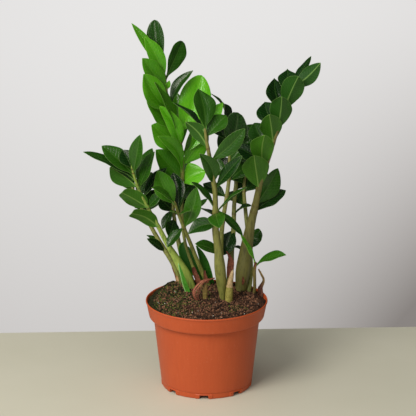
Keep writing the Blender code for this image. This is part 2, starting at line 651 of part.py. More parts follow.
def make_shoots_and_sheaths():
    """Round young shoots, and the green and dry sheaths that stand in the soil."""
    cutters = []
    for name, points in SHOOTS.items():
        path = buried_path(points, SHEATH_BURIED, SHOOT_RINGS)
        radii = path[:, 3] * MM / 2
        cutters.append(hole_cutter(f"{name}_hole", tube_rings(path[:, :3], radii + HOLE_GROWTH)))
        shoot = solid(name, tube_rings(path[:, :3], radii))
        shoot.data.shade_smooth()
        paint(shoot, "shoot")
    for name, sheath in SHEATHS.items():
        path = buried_path(sheath["points"], SHEATH_BURIED, SHEATH_RINGS)
        middle = path[:, :3]
        along = np.gradient(middle, axis=0)
        along = along / np.linalg.norm(along, axis=1, keepdims=True)
        view = (EYE - middle) / np.linalg.norm(EYE - middle, axis=1, keepdims=True)
        plain = view - along * (view * along).sum(axis=1, keepdims=True)
        plain = plain / np.linalg.norm(plain, axis=1, keepdims=True)
        turn = math.radians(sheath["face"])
        upper = math.cos(turn) * plain + math.sin(turn) * np.cross(along, plain)
        across = np.cross(along, upper)
        half = path[:, 3] * MM / 2
        piece = solid(name, blade_rings(middle, across, upper, half, SHEATH_CUP, SHEATH_THICKNESS))
        room = blade_rings(middle + upper * HOLE_GROWTH, across, upper, half + HOLE_GROWTH,
                           SHEATH_CUP, SHEATH_THICKNESS + 2 * HOLE_GROWTH)
        cutters.append(hole_cutter(f"{name}_hole", room))
        paint(piece, "husk" if name.startswith("husk") else "sheath")
    return cutters


def main():
    """Clear the scene, then make the pot, the plant and the soil round its stems."""
    for old in list(bpy.data.objects):
        bpy.data.objects.remove(old)
    make_pot()
    cutters = make_fronds() + make_shoots_and_sheaths()
    make_soil(cutters)


main()
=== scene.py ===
# %% [markdown]
# # A potted ZZ plant
#
# The plant is a clump of arching fronds in a terracotta coloured plastic grow pot. Each frond is one
# thick stem with pairs of waxy leaflets. Young spears and dry sheaths stand among the stems, and
# the potting mix is dark, crumbly and mossy on one side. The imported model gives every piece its
# place. Here each piece gets its fine shape and its finish.

import math

import bmesh
import bpy
import numpy as np
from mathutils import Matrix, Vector


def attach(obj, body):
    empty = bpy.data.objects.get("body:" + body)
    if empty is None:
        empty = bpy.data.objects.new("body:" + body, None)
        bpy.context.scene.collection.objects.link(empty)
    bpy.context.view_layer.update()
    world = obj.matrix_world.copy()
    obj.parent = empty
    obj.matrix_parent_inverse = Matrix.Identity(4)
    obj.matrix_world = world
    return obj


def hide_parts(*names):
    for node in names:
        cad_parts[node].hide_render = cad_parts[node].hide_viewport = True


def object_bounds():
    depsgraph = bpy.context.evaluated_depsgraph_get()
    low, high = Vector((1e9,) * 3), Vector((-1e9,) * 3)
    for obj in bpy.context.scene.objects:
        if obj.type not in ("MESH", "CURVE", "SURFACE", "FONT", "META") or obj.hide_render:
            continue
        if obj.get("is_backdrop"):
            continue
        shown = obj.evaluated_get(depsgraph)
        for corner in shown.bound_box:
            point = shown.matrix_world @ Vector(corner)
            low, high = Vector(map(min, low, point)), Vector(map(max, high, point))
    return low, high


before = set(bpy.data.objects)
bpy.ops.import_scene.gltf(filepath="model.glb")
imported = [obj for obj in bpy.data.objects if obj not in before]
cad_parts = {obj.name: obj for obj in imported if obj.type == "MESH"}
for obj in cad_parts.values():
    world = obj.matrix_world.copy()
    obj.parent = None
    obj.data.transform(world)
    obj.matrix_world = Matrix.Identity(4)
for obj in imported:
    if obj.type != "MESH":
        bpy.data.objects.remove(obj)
cad_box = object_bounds()
print("packed nodes:", len(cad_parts))
print("packed box:", [tuple(round(v, 4) for v in corner) for corner in cad_box])

# %% [markdown]
# ## Places in the picture
#
# Stems and leaflets were placed by the column and row at which they are seen, so the same
# viewpoint is needed here. A point in space lies on the line of sight of its column and row, at a
# depth given in millimetres in front of the pot's axis.

# %% The viewpoint
MM = 0.001
EYE = np.array([0.0018, -2.800, 1.113])
LOOKS_AT = np.array([0.0018, 0.0, 0.250])
FOCAL_PIXELS = 2193.0
PICTURE_WIDTH = 416
PICTURE_CENTRE = PICTURE_WIDTH / 2
SENSOR_MM = 36.0


def sight(column, row, near):
    """The point seen at a column and row, near millimetres in front of the pot's axis."""
    forward = (LOOKS_AT - EYE) / np.linalg.norm(LOOKS_AT - EYE)
    right = np.array([1.0, 0.0, 0.0])
    up = np.cross(right, forward)
    ray = forward * FOCAL_PIXELS + right * (column - PICTURE_CENTRE) - up * (row - PICTURE_CENTRE)
    return EYE + ray * ((-near * MM - EYE[1]) / ray[1])


print("pot rim seen at", sight(205.0, 320.0, 82.5).round(4))

# %% [markdown]
# ## Closed skins
#
# Every new piece here is made of closed skins. A skin is a grid of points: rings that follow each
# other, each with the same number of points. Four neighbours make a face, and the first and last
# rings are closed by one face each. The rings turn anticlockwise about the way they follow each
# other, so that all faces look outwards. Numbers that a material needs, such as how far a point is
# from a leaf's midrib, are kept on the points as attributes.

# %% Make a piece from closed skins
ML_PER_CUBIC_METRE = 1e6


def ring_quads(count, sides):
    """Corner numbers of the four-sided faces between count rings of sides points.

    Point i of a ring meets point i + 1 of its own ring and the same two points of the next ring.
    """
    ring, side = np.meshgrid(np.arange(count - 1), np.arange(sides), indexing="ij")
    a = ring * sides + side
    b = ring * sides + (side + 1) % sides
    return np.stack([a, b, b + sides, a + sides], axis=-1).reshape(-1, 4)


def keep_numbers(mesh, name, values):
    """Keeps one number on every point of a mesh, for its material to read."""
    attribute = mesh.attributes.new(name, "FLOAT", "POINT")
    attribute.data.foreach_set("value", values.astype(np.float32))


def make_piece(name, skins, material, replaces=()):
    """One object from skins, each a dict of rings (count, sides, 3) and attributes (count, sides)."""
    points, faces, values, first = [], [], {}, 0
    for skin in skins:
        count, sides = skin["rings"].shape[:2]
        points.append(skin["rings"].reshape(-1, 3))
        faces += (ring_quads(count, sides) + first).tolist()
        faces.append((np.arange(sides)[::-1] + first).tolist())
        faces.append((np.arange(sides) + first + (count - 1) * sides).tolist())
        for key, value in skin.items():
            if key != "rings":
                values.setdefault(key, []).append(np.broadcast_to(value, (count, sides)).ravel())
        first += count * sides
    mesh = bpy.data.meshes.new(name)
    mesh.from_pydata(np.concatenate(points), [], faces)
    for key, parts in values.items():
        keep_numbers(mesh, key, np.concatenate(parts))
    return finish_piece(name, mesh, material, replaces)


def finish_piece(name, mesh, material, replaces=()):
    """Shades a mesh smoothly, gives it its material, names what it rides on and hides the parts it stands
    for.
    """
    mesh.shade_smooth()
    mesh.materials.append(material)
    piece = bpy.data.objects.new(name, mesh)
    bpy.context.scene.collection.objects.link(piece)
    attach(piece, "root")
    if replaces:
        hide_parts(*replaces)
    measured = bmesh.new()
    measured.from_mesh(mesh)
    volume = measured.calc_volume(signed=True) * ML_PER_CUBIC_METRE
    print(f"{name}: {len(mesh.polygons)} faces, {volume:.2f} ml")
    measured.free()
    return piece


print("a tube of 3 rings of 4 points has", len(ring_quads(3, 4)), "side faces")

# %% [markdown]
# ## Paths
#
# A stem grows in a gentle curve. It could be a Blender curve with a bevel, but then its thickness
# and its leaf joints would be hard to place. So the curve is worked out here, through a few points
# that carry the stem's diameter with them. A stem goes on below the soil, so that no end shows.

# %% Paths
def smooth_path(points, count):
    """A cubic curve through the points, sampled at even steps of their chord lengths."""
    points = np.asarray(points, float)
    steps = np.linalg.norm(np.diff(points[:, :3], axis=0), axis=1)
    knots = np.concatenate([[0.0], np.cumsum(steps)])
    slopes = np.gradient(points, knots, axis=0)
    at = np.linspace(0.0, knots[-1], count)
    i = np.clip(np.searchsorted(knots, at, side="right") - 1, 0, len(knots) - 2)
    span = (knots[i + 1] - knots[i])[:, None]
    s = (at - knots[i])[:, None] / span
    start = (2 * s**3 - 3 * s**2 + 1) * points[i] + (s**3 - 2 * s**2 + s) * span * slopes[i]
    end = (3 * s**2 - 2 * s**3) * points[i + 1] + (s**3 - s**2) * span * slopes[i + 1]
    return start + end


FOOT_LEAN = 0.93
FOOT_TAPER = 0.9
FOOT_ROWS = 9


def buried_path(points, depth, count):
    """A path with columns x, y, z, diameter in mm and picture row, with a foot below the soil."""
    rows = [(*sight(c, r, near), size, r) for c, r, near, size in points]
    x, y, z = rows[0][:3]
    foot = (x * FOOT_LEAN, y * FOOT_LEAN, z - depth, rows[0][3] * FOOT_TAPER, rows[0][4] + FOOT_ROWS)
    return smooth_path([foot] + rows, count)


middle_row = smooth_path([(0, 0, 0, 4.0), (0, 0, 0.1, 3.0), (0.01, 0, 0.2, 2.0)], 5)[2]
print("half way along a test path:", middle_row.round(3))

# %% [markdown]
# ## Steps and noise
#
# Soil is crumbly and dry skin is torn, but both at a known size of crumb or tear. Uneven surfaces
# are made from random heights on a lattice of that spacing, blended with an S-shaped curve. The
# random numbers are seeded, so each run gives the same surface.

# %% Steps and noise
LATTICE = 256


def slope_step(value, start, end):
    """An S-shaped step: 0 before start, 1 after end, and 3 s^2 - 2 s^3 between them."""
    s = np.clip((value - start) / (end - start), 0.0, 1.0)
    return s * s * (3 - 2 * s)


def lattice_noise(x, y, spacing, seed):
    """Smooth noise from -1 to 1: random heights on a square lattice, joined by an S-shaped blend."""
    heights = np.random.default_rng(seed).uniform(-1, 1, (LATTICE + 2, LATTICE + 2))
    u, v = x / spacing % LATTICE, y / spacing % LATTICE
    i, j = np.floor(u).astype(int), np.floor(v).astype(int)
    s, t = u - i, v - j
    s, t = s * s * (3 - 2 * s), t * t * (3 - 2 * t)
    low = heights[i, j] * (1 - s) + heights[i + 1, j] * s
    high = heights[i, j + 1] * (1 - s) + heights[i + 1, j + 1] * s
    return low * (1 - t) + high * t


sample = lattice_noise(*np.mgrid[0:0.05:0.001, 0:0.05:0.001], 0.004, 1)
print("noise goes from", sample.min().round(2), "to", sample.max().round(2))

# %% [markdown]
# ## Colours and nodes
#
# Colours are written as they look on a screen and turned into amounts of light in one place. A
# material is a tree of nodes, and one function adds each node with its settings and links. The
# size of a pattern is given in millimetres, and its scale follows from that. Some inputs have only
# numbers: a range maps input 0 from 1 and 2 to 3 and 4, and a mix goes by 0 from colour 6 to 7.

# %% Colours and nodes
def linear(code):
    """A screen colour in hex as linear red, green, blue and alpha."""
    channels = np.array([int(code[i:i + 2], 16) for i in (1, 3, 5)]) / 255
    light = np.where(channels <= 0.04045, channels / 12.92, ((channels + 0.055) / 1.055) ** 2.4)
    return (*light.tolist(), 1.0)


def put(tree, node, inputs):
    """Links a node's inputs to outputs of other nodes, or sets them."""
    for key, value in inputs.items():
        if isinstance(value, bpy.types.NodeSocket):
            tree.links.new(value, node.inputs[key])
        else:
            node.inputs[key].default_value = value


def add(tree, kind, settings, inputs, out=0):
    """Adds a node with its settings and inputs, and returns one of its outputs."""
    node = tree.nodes.new(kind)
    for key, value in settings.items():
        setattr(node, key, value)
    put(tree, node, inputs)
    return node.outputs[out]


MIX, MATH, NOISE, RANGE, ATTRIBUTE, BUMP, MAPPING = (
    f"ShaderNode{kind}" for kind in ("Mix", "Math", "TexNoise", "MapRange", "Attribute", "Bump", "Mapping"))
COLOUR = {"data_type": "RGBA"}
SOFT = {"interpolation_type": "SMOOTHSTEP"}
OPERATIONS = ("ABSOLUTE", "ADD", "COSINE", "DIVIDE", "MAXIMUM",
              "MULTIPLY", "MULTIPLY_ADD", "POWER", "SINE", "SUBTRACT")
ABSOLUTE, ADD, COSINE, DIVIDE, MAXIMUM, MULTIPLY, MULTIPLY_ADD, POWER, SINE, SUBTRACT = (
    {"operation": operation} for operation in OPERATIONS)


def cells(size_mm):
    """The scale of a pattern in metres whose cells are that many millimetres wide."""
    return 1 / (size_mm * MM)


def new_material(name):
    """A material of that name, its node tree, its shader and the object's own coordinates."""
    material = bpy.data.materials.new(name)
    material.use_nodes = True
    tree = material.node_tree
    shader = tree.nodes["Principled BSDF"]
    place = add(tree, "ShaderNodeTexCoord", {}, {}, "Object")
    return material, tree, shader, place


print("leaf green in light:", [round(v, 3) for v in linear("#2c6a22")])
print("a 4 mm pattern has the scale", cells(4.0))

# %% [markdown]
# ## Camera
#
# The picture was taken from a little above and far off, which keeps the pot's sides straight. A
# long lens does the same here. The lens length follows from the focal length in pixels. The
# standard view keeps colours as they are, so that they can be compared with the picture's.

# %% Camera
lens = bpy.data.cameras.new("camera")
lens.sensor_width = SENSOR_MM
lens.lens = FOCAL_PIXELS * SENSOR_MM / PICTURE_WIDTH
lens.clip_end = 50.0
camera = bpy.data.objects.new("camera", lens)
camera.location = EYE
camera.rotation_euler = Vector(LOOKS_AT - EYE).to_track_quat("-Z", "Y").to_euler()
bpy.context.scene.collection.objects.link(camera)
bpy.context.scene.camera = camera
bpy.context.scene.view_settings.view_transform = "Standard"
print("lens", round(lens.lens, 1), "mm")

# %% [markdown]
# ## Table top
#
# The pot stands on a pale, matt table top, and its far edge shows behind the pot. A plain board is
# enough. Its edge runs through two places that were seen in the picture, a little askew.

# %% Table top
TABLE_EDGE = [(-0.303, 0.194), (0.305, 0.220)]
TABLE_FRONT = -3.4
TABLE_SIDE = 1.7
TABLE_DEPTH = 0.03
WASH_MM = 111.1
TOOTH_MM = 1.111


def table_material():
    """Lime washed board: a matt pale beige, a little uneven as the wash dries, with a very fine tooth.

    A board's tooth is a few tenths of a millimetre, and is drawn coarser so that it shows.
    """
    material, tree, shader, place = new_material("lime_washed_board")
    cloud = add(tree, NOISE, {}, {"Vector": place, "Scale": cells(WASH_MM), "Detail": 3.0})
    base = add(tree, MIX, COLOUR, {0: cloud, 6: linear("#c9c9b8"), 7: linear("#d0d0c1")}, 2)
    tooth = add(tree, NOISE, {}, {"Vector": place, "Scale": cells(TOOTH_MM), "Detail": 2.0})
    bump = add(tree, BUMP, {}, {"Strength": 0.1, "Distance": 0.0002, "Height": tooth})
    put(tree, shader, {"Base Color": base, "Normal": bump, "Roughness": 0.62})
    return material


def make_table():
    """A board whose far edge runs through two points seen in the picture."""
    (x0, y0), (x1, y1) = TABLE_EDGE
    slope = (y1 - y0) / (x1 - x0)
    corners = [(-TABLE_SIDE, TABLE_FRONT), (TABLE_SIDE, TABLE_FRONT),
               (TABLE_SIDE, y0 + slope * (TABLE_SIDE - x0)), (-TABLE_SIDE, y0 - slope * (TABLE_SIDE + x0))]
    rings = np.array([[(x, y, z) for x, y in corners] for z in (-TABLE_DEPTH, 0.0)])
    mesh = bpy.data.meshes.new("table_top")
    quads = ring_quads(2, 4).tolist()
    mesh.from_pydata(rings.reshape(-1, 3), [], quads + [[3, 2, 1, 0], [4, 5, 6, 7]])
    mesh.materials.append(table_material())
    table = bpy.data.objects.new("table_top", mesh)
    bpy.context.scene.collection.objects.link(table)
    table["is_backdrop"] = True
    return table


table = make_table()
print("table top", [round(v, 2) for v in table.dimensions])

# %% [markdown]
# ## Wall and room
#
# Behind the table is a plain wall, and its darkening to the lower right is painted shade. A real
# wall object would hide the plant from the back, so the wall is the world's colour, worked out from
# the direction of view. The same world lights the plant as the room does: dim all round, and bright
# towards the window. Glossy leaves see a narrower bright part than matt ones, because a waxy leaf
# mirrors the window itself.

# %% Wall and room
KEY_AZIMUTH = 36.0
KEY_HEIGHT = 40.0
WALL_LIGHT = 0.805
WALL_LEAST = 0.25
WALL_MIDDLE = 0.42
WALL_BOW = 0.13
WALL_DROP = 0.25
WALL_DROP_RIGHT = 0.6
WALL_DOWN_POWER = 1.5
WALL_RIGHT_POWER = 2.9
WALL_GREEN_POWER = 1.06
WALL_BLUE_POWER = 1.10
FILL_DIM = 0.07
FILL_BRIGHT = 0.85
FILL_START = -0.1
FILL_START_GLOSSY = 0.52


def towards(azimuth, elevation):
    """The direction at degrees left of the camera's side and degrees above level."""
    a, e = math.radians(azimuth), math.radians(elevation)
    return Vector((-math.sin(a) * math.cos(e), -math.cos(a) * math.cos(e), math.sin(e)))


def make_wall():
    """The wall's light, by column and row, for the camera, and the room's light for the rest.

    With x and y from 0 to 1 across and down the picture, the wall is its light less the painted
    shade bow (x - middle)^2 and (drop + drop right x^2.9) y^1.5, and never less than its least.
    Green and blue fall off a little faster. The room goes from dim to bright in an S-shaped way,
    as the cosine of the angle to the window goes from its start to 1.
    """
    world = bpy.data.worlds.new("wall")
    bpy.context.scene.world = world
    world.use_nodes = True
    tree = world.node_tree
    direction = add(tree, "ShaderNodeTexCoord", {}, {}, "Generated")
    parts = add(tree, "ShaderNodeSeparateXYZ", {}, {0: direction}).node.outputs
    half = PICTURE_CENTRE / FOCAL_PIXELS
    x = add(tree, RANGE, {}, {0: parts[0], 1: -half, 2: half, 3: 0.0, 4: 1.0})
    up = (LOOKS_AT - EYE)[2] / np.linalg.norm(LOOKS_AT - EYE)
    tall = half * math.sqrt(1 - up**2)
    y = add(tree, RANGE, {}, {0: parts[2], 1: up + tall, 2: up - tall, 3: 0.0, 4: 1.0})
    # painted shade on the wall: darker away from the middle, and towards the lower right
    aside = add(tree, MATH, SUBTRACT, {0: x, 1: WALL_MIDDLE})
    aside = add(tree, MATH, MULTIPLY, {0: aside, 1: aside})
    aside = add(tree, MATH, MULTIPLY, {0: aside, 1: -WALL_BOW})
    fall = add(tree, MATH, POWER, {0: y, 1: WALL_DOWN_POWER})
    right = add(tree, MATH, POWER, {0: x, 1: WALL_RIGHT_POWER})
    share = add(tree, MATH, MULTIPLY_ADD, {0: right, 1: -WALL_DROP_RIGHT, 2: -WALL_DROP})
    fall = add(tree, MATH, MULTIPLY_ADD, {0: fall, 1: share, 2: aside})
    red = add(tree, MATH, ADD, {0: fall, 1: WALL_LIGHT})
    red = add(tree, MATH, MAXIMUM, {0: red, 1: WALL_LEAST})
    green = add(tree, MATH, POWER, {0: red, 1: WALL_GREEN_POWER})
    blue = add(tree, MATH, POWER, {0: red, 1: WALL_BLUE_POWER})
    colour = add(tree, "ShaderNodeCombineColor", {}, {0: red, 1: green, 2: blue})
    seen = add(tree, "ShaderNodeLightPath", {}, {}, "Is Camera Ray")
    backdrop = tree.nodes["Background"]
    put(tree, backdrop, {"Color": colour})
    facing = add(tree, "ShaderNodeVectorMath", {"operation": "DOT_PRODUCT"},
                 {0: direction, 1: tuple(towards(KEY_AZIMUTH, KEY_HEIGHT))}, 1)
    glossy = add(tree, "ShaderNodeLightPath", {}, {}, "Is Glossy Ray")
    narrower = FILL_START_GLOSSY - FILL_START
    start = add(tree, MATH, MULTIPLY_ADD, {0: glossy, 1: narrower, 2: FILL_START})
    glow = add(tree, RANGE, SOFT, {0: facing, 1: start, 2: 1.0, 3: FILL_DIM, 4: FILL_BRIGHT})
    fill = add(tree, "ShaderNodeBackground", {}, {"Color": linear("#fbf6ef"), "Strength": glow})
    both = add(tree, "ShaderNodeMixShader", {}, {0: seen, 1: fill, 2: backdrop.outputs[0]})
    put(tree, tree.nodes["World Output"], {"Surface": both})
    return world


print("wall:", make_wall().name)

# %% [markdown]
# ## Light
#
# The plant stands near a window, which is high on the left and in front. A square area light of
# a small window's size gives the same soft edge of shade down the right of the pot, and the soft
# shadow on the table. The room's light, made above, fills the shade.

# %% Window light
KEY_DISTANCE = 1.7
KEY_SIZE = 0.8
KEY_WATTS = 22.5
KEY_COLOUR = "#fff8ee"
KEY_AIM_HEIGHT = 0.22

lamp = bpy.data.lights.new("window", "AREA")
lamp.size = KEY_SIZE
lamp.energy = KEY_WATTS
lamp.color = linear(KEY_COLOUR)[:3]
window = bpy.data.objects.new("window", lamp)
outward = towards(KEY_AZIMUTH, KEY_HEIGHT)
window.location = Vector((0.0, 0.0, KEY_AIM_HEIGHT)) + outward * KEY_DISTANCE
window.rotation_euler = outward.to_track_quat("Z", "Y").to_euler()
bpy.context.scene.collection.objects.link(window)
print("window at", [round(v, 2) for v in window.location])

# %% [markdown]
# ## Grow pot
#
# The pot is thin polypropylene, injection moulded in terracotta colour. It is a surface of
# revolution, so its section is drawn first: radius and height, from the middle of the underside
# out, up the wall, over the lip and back in. The section's corners are cut twice, which rounds
# them as a mould does and costs less than a bevel.

# %% Pot profile
POT_HEIGHT = 0.121
RIM_RADIUS = 0.0825
COLLAR_HEIGHT = 0.022
COLLAR_FOOT_RADIUS = 0.0778
NECK_RADIUS = 0.0720
BASE_RADIUS = 0.0613
FOOT_RING_HEIGHT = 0.008
WALL = 0.0016
PAD_RADIUS = 0.036
CHANNEL_HEIGHT = 0.0065
NECK_HEIGHT = POT_HEIGHT - COLLAR_HEIGHT
LONGEST_STRETCH = 0.0030
POLE_RADIUS = 0.0004


def inner_radius(z):
    """Radius of the pot's inner wall at a height."""
    if z <= NECK_HEIGHT:
        share = (z - FOOT_RING_HEIGHT) / (NECK_HEIGHT - FOOT_RING_HEIGHT)
        return BASE_RADIUS + (NECK_RADIUS - BASE_RADIUS) * share - WALL
    return COLLAR_FOOT_RADIUS + (RIM_RADIUS - COLLAR_FOOT_RADIUS) * (z - NECK_HEIGHT) / COLLAR_HEIGHT - WALL


def cut_corners(points, times):
    """Each corner gives way to two points, a quarter of the way along its two sides."""
    for _ in range(times):
        near = points[:-1] * 0.75 + points[1:] * 0.25
        far = points[:-1] * 0.25 + points[1:] * 0.75
        points = np.concatenate([points[:1], np.stack([near, far], 1).reshape(-1, 2), points[-1:]])
    return points


def split_long(points, longest):
    """Puts points on the long straight stretches, so that cut corners stay small."""
    result = [points[:1]]
    for a, b in zip(points[:-1], points[1:]):
        steps = max(1, math.ceil(np.linalg.norm(b - a) / longest))
        result.append(a + (b - a) * (np.arange(1, steps + 1) / steps)[:, None])
    return np.concatenate(result)


def pot_profile():
    """Radius and height of the pot's section, from the middle of its underside out, up and back in."""
    floor = CHANNEL_HEIGHT + WALL
    corners = np.array([
        (POLE_RADIUS, 0.0),
        (PAD_RADIUS, 0.0),
        (PAD_RADIUS + 0.0015, CHANNEL_HEIGHT),
        (BASE_RADIUS - 0.0045, CHANNEL_HEIGHT),
        (BASE_RADIUS - 0.0038, 0.0),
        (BASE_RADIUS - 0.0012, 0.0),
        (BASE_RADIUS - 0.0004, 0.0010),
        (BASE_RADIUS - 0.0001, 0.0045),
        (BASE_RADIUS, FOOT_RING_HEIGHT),
        (BASE_RADIUS + 0.0009, FOOT_RING_HEIGHT + 0.0006),
        (NECK_RADIUS, NECK_HEIGHT - 0.0010),
        (COLLAR_FOOT_RADIUS - 0.0008, NECK_HEIGHT - 0.0007),
        (COLLAR_FOOT_RADIUS + 0.0001, NECK_HEIGHT + 0.0004),
        (RIM_RADIUS - 0.0010, POT_HEIGHT - 0.0032),
        (RIM_RADIUS + 0.0001, POT_HEIGHT - 0.0018),
        (RIM_RADIUS - 0.0003, POT_HEIGHT + 0.0001),
        (RIM_RADIUS - 0.0019, POT_HEIGHT - 0.0002),
        (inner_radius(POT_HEIGHT - 0.0030), POT_HEIGHT - 0.0030),
        (COLLAR_FOOT_RADIUS - WALL - 0.0006, NECK_HEIGHT + 0.0016),
        (NECK_RADIUS - WALL, NECK_HEIGHT + 0.0004),
        (inner_radius(floor + 0.0020), floor + 0.0020),
        (inner_radius(floor) - 0.0012, floor),
        (PAD_RADIUS, floor),
        (PAD_RADIUS - 0.0015, WALL),
        (POLE_RADIUS, WALL),
    ])
    return cut_corners(split_long(corners, LONGEST_STRETCH), times=2)


profile = pot_profile()
print("pot section:", len(profile), "points")

# %% [markdown]
# ## Notches in the foot ring
#
# Eight notches drain the foot ring, each with a raised surround. Cutting them out would leave
# long thin faces. Here the section is turned about the axis, and over each notch the ring's rows
# are pressed up towards its top, so no face is lost. The turn angles stand close together at the
# edges of notches and surrounds, which keeps those edges crisp.

# %% Pot skin
NOTCH_COUNT = 8
NOTCH_WIDTH = 0.0125
NOTCH_HEIGHT = 0.0050
NOTCH_TURN = math.radians(-90.0 - 3.4)
SURROUND_WIDTH = 0.0235
SURROUND_HEIGHT = 0.0066
SURROUND_PROUD = 0.0008
NOTCH_TURNS = NOTCH_TURN + np.arange(NOTCH_COUNT) * 2 * math.pi / NOTCH_COUNT
EVEN_TURNS = 240
EDGE_STEPS = (-0.00070, -0.00035, -0.00015, 0.0, 0.00015, 0.00035, 0.00070)
CLOSEST_TURN = 0.004


def pot_angles():
    """Turn angles round the pot, even, and close together at the edges of notches and surrounds."""
    even = np.linspace(0, 2 * math.pi, EVEN_TURNS, endpoint=False)
    edges = [side * (width / 2 + step) / BASE_RADIUS
             for width in (NOTCH_WIDTH, SURROUND_WIDTH) for step in EDGE_STEPS for side in (-1, 1)]
    close = (NOTCH_TURNS[:, None] + np.array(edges)).ravel() % (2 * math.pi)
    apart = np.abs((even[:, None] - close + math.pi) % (2 * math.pi) - math.pi).min(axis=1)
    return np.sort(np.concatenate([even[apart > CLOSEST_TURN], close]))


def pot_rings():
    """The turned profile, its foot ring pressed up over each notch and out over each surround.

    Over a notch of height h, a row of the ring at height z moves to h + z (top - h) / top.
    """
    turn = pot_angles()
    half_way = math.pi / NOTCH_COUNT
    nearest = (turn - NOTCH_TURN + half_way) % (2 * half_way) - half_way
    aside = np.abs(nearest) * BASE_RADIUS
    notch = NOTCH_HEIGHT * (1 - slope_step(aside, NOTCH_WIDTH / 2 - 0.0006, NOTCH_WIDTH / 2 + 0.0001))
    around = 1 - slope_step(aside, SURROUND_WIDTH / 2 - 0.0005, SURROUND_WIDTH / 2 + 0.0002)
    radius, height = profile[:, :1], profile[:, 1:]
    ring = (radius > BASE_RADIUS - 0.0046) & (height < CHANNEL_HEIGHT)
    lifted = np.where(ring, notch + height * (CHANNEL_HEIGHT - notch) / CHANNEL_HEIGHT, height)
    outer = (radius > BASE_RADIUS - 0.0016) & (height < NECK_HEIGHT)
    proud = 1 - slope_step(lifted, SURROUND_HEIGHT - 0.0005, SURROUND_HEIGHT + 0.0003)
    radius = radius + np.where(outer, SURROUND_PROUD * around * proud, 0.0)
    return np.stack([radius * np.cos(turn), radius * np.sin(turn), lifted + 0 * turn], axis=-1)


rings = pot_rings()
print("pot skin:", rings.shape[0], "rings of", rings.shape[1], "points")

# %% [markdown]
# ## Moulded plastic
#
# Polypropylene comes out of its mould satin, and evenly coloured apart from faint marks where the
# melt flowed up the wall. Handling leaves a little pale dust. All of that is weak, and it keeps
# the wall from looking painted.

# %% Moulded plastic
POT_CLOUD_MM = 45.45
FLOW_MM = 3.846
FLOW_STRETCH = 0.06
DUST_MM = 2.381


def pot_material():
    """Moulded polypropylene: terracotta coloured, satin, with faint flow marks down the wall."""
    material, tree, shader, place = new_material("moulded_polypropylene")
    cloud = add(tree, NOISE, {}, {"Vector": place, "Scale": cells(POT_CLOUD_MM), "Detail": 4.0})
    base = add(tree, MIX, COLOUR, {0: cloud, 6: linear("#b44d27"), 7: linear("#c25a30")}, 2)
    tall = add(tree, MAPPING, {}, {"Vector": place, "Scale": (1.0, 1.0, FLOW_STRETCH)})
    flow = add(tree, NOISE, {}, {"Vector": tall, "Scale": cells(FLOW_MM), "Detail": 3.0})
    marks = add(tree, RANGE, {}, {0: flow, 1: 0.35, 2: 0.75, 3: 0.0, 4: 0.16})
    base = add(tree, MIX, COLOUR, {0: marks, 6: base, 7: linear("#983c1e")}, 2)
    dust = add(tree, NOISE, {}, {"Vector": place, "Scale": cells(DUST_MM), "Detail": 2.0})
    dusty = add(tree, RANGE, {}, {0: dust, 1: 0.62, 2: 0.78, 3: 0.0, 4: 0.10})
    base = add(tree, MIX, COLOUR, {0: dusty, 6: base, 7: linear("#d9a184")}, 2)
    rough = add(tree, RANGE, {}, {0: cloud, 1: 0.3, 2: 0.7, 3: 0.42, 4: 0.52})
    bump = add(tree, BUMP, {}, {"Strength": 0.25, "Distance": 0.0003, "Height": flow})
    put(tree, shader, {"Base Color": base, "Roughness": rough,
                       "Normal": bump, "IOR": 1.49, "Specular IOR Level": 0.3})
    return material


pot_finish = pot_material()
print(pot_finish.name, "has", len(pot_finish.node_tree.nodes), "nodes")

# %% [markdown]
# ## Drain holes
#
# Water leaves the pot by a round hole in the channel behind each notch. The holes can't be part
# of a turned section, so eight short pegs are cut out of the finished skin. The sharp edges are
# marked last, because the cut makes new ones.

# %% Drain holes
DRAIN_RADIUS = 0.004
DRAIN_CIRCLE = 0.047
DRAIN_SIDES = 24
PEG_END = 0.002
SHARP_DEGREES = 38


def cut_drains(pot):
    """Cuts a round hole in the channel behind each notch: one peg for each, all in one mesh."""
    circle = np.linspace(0, 2 * math.pi, DRAIN_SIDES, endpoint=False)
    side = np.arange(DRAIN_SIDES)
    points, faces = [], []
    for turn in NOTCH_TURNS:
        middle = DRAIN_CIRCLE * np.array([math.cos(turn), math.sin(turn)])
        x, y = middle[0] + DRAIN_RADIUS * np.cos(circle), middle[1] + DRAIN_RADIUS * np.sin(circle)
        first = len(points) * DRAIN_SIDES
        points += [np.column_stack([x, y, np.full(DRAIN_SIDES, z)])
                   for z in (CHANNEL_HEIGHT - PEG_END, CHANNEL_HEIGHT + WALL + PEG_END)]
        faces += (ring_quads(2, DRAIN_SIDES) + first).tolist()
        faces += [(side[::-1] + first).tolist(), (side + first + DRAIN_SIDES).tolist()]
    mesh = bpy.data.meshes.new("drains")
    mesh.from_pydata(np.concatenate(points), [], faces)
    drains = bpy.data.objects.new("drains", mesh)
    bpy.context.scene.collection.objects.link(drains)
    cut = pot.modifiers.new("drains", "BOOLEAN")
    cut.operation = "DIFFERENCE"
    cut.object = drains
    cut.solver = "EXACT"
    shape = pot.evaluated_get(bpy.context.evaluated_depsgraph_get())
    pot.data = bpy.data.meshes.new_from_object(shape)
    pot.modifiers.clear()
    bpy.data.objects.remove(drains)


pot = make_piece("grow_pot", [{"rings": rings}], pot_finish, ["pot"])
cut_drains(pot)
pot.data.set_sharp_from_angle(angle=math.radians(SHARP_DEGREES))
print("grow_pot with drains:", len(pot.data.polygons), "faces")

# %% [markdown]
# ## Potting mix
#
# The mix is peat and bark with white perlite, crumbly on top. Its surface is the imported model's low
# mound plus noise at three sizes of crumb. A bump map alone would leave the edge at the pot too
# smooth, so the larger crumbs are real shape. The mix goes down inside the pot like a plug, so it
# is a closed skin.

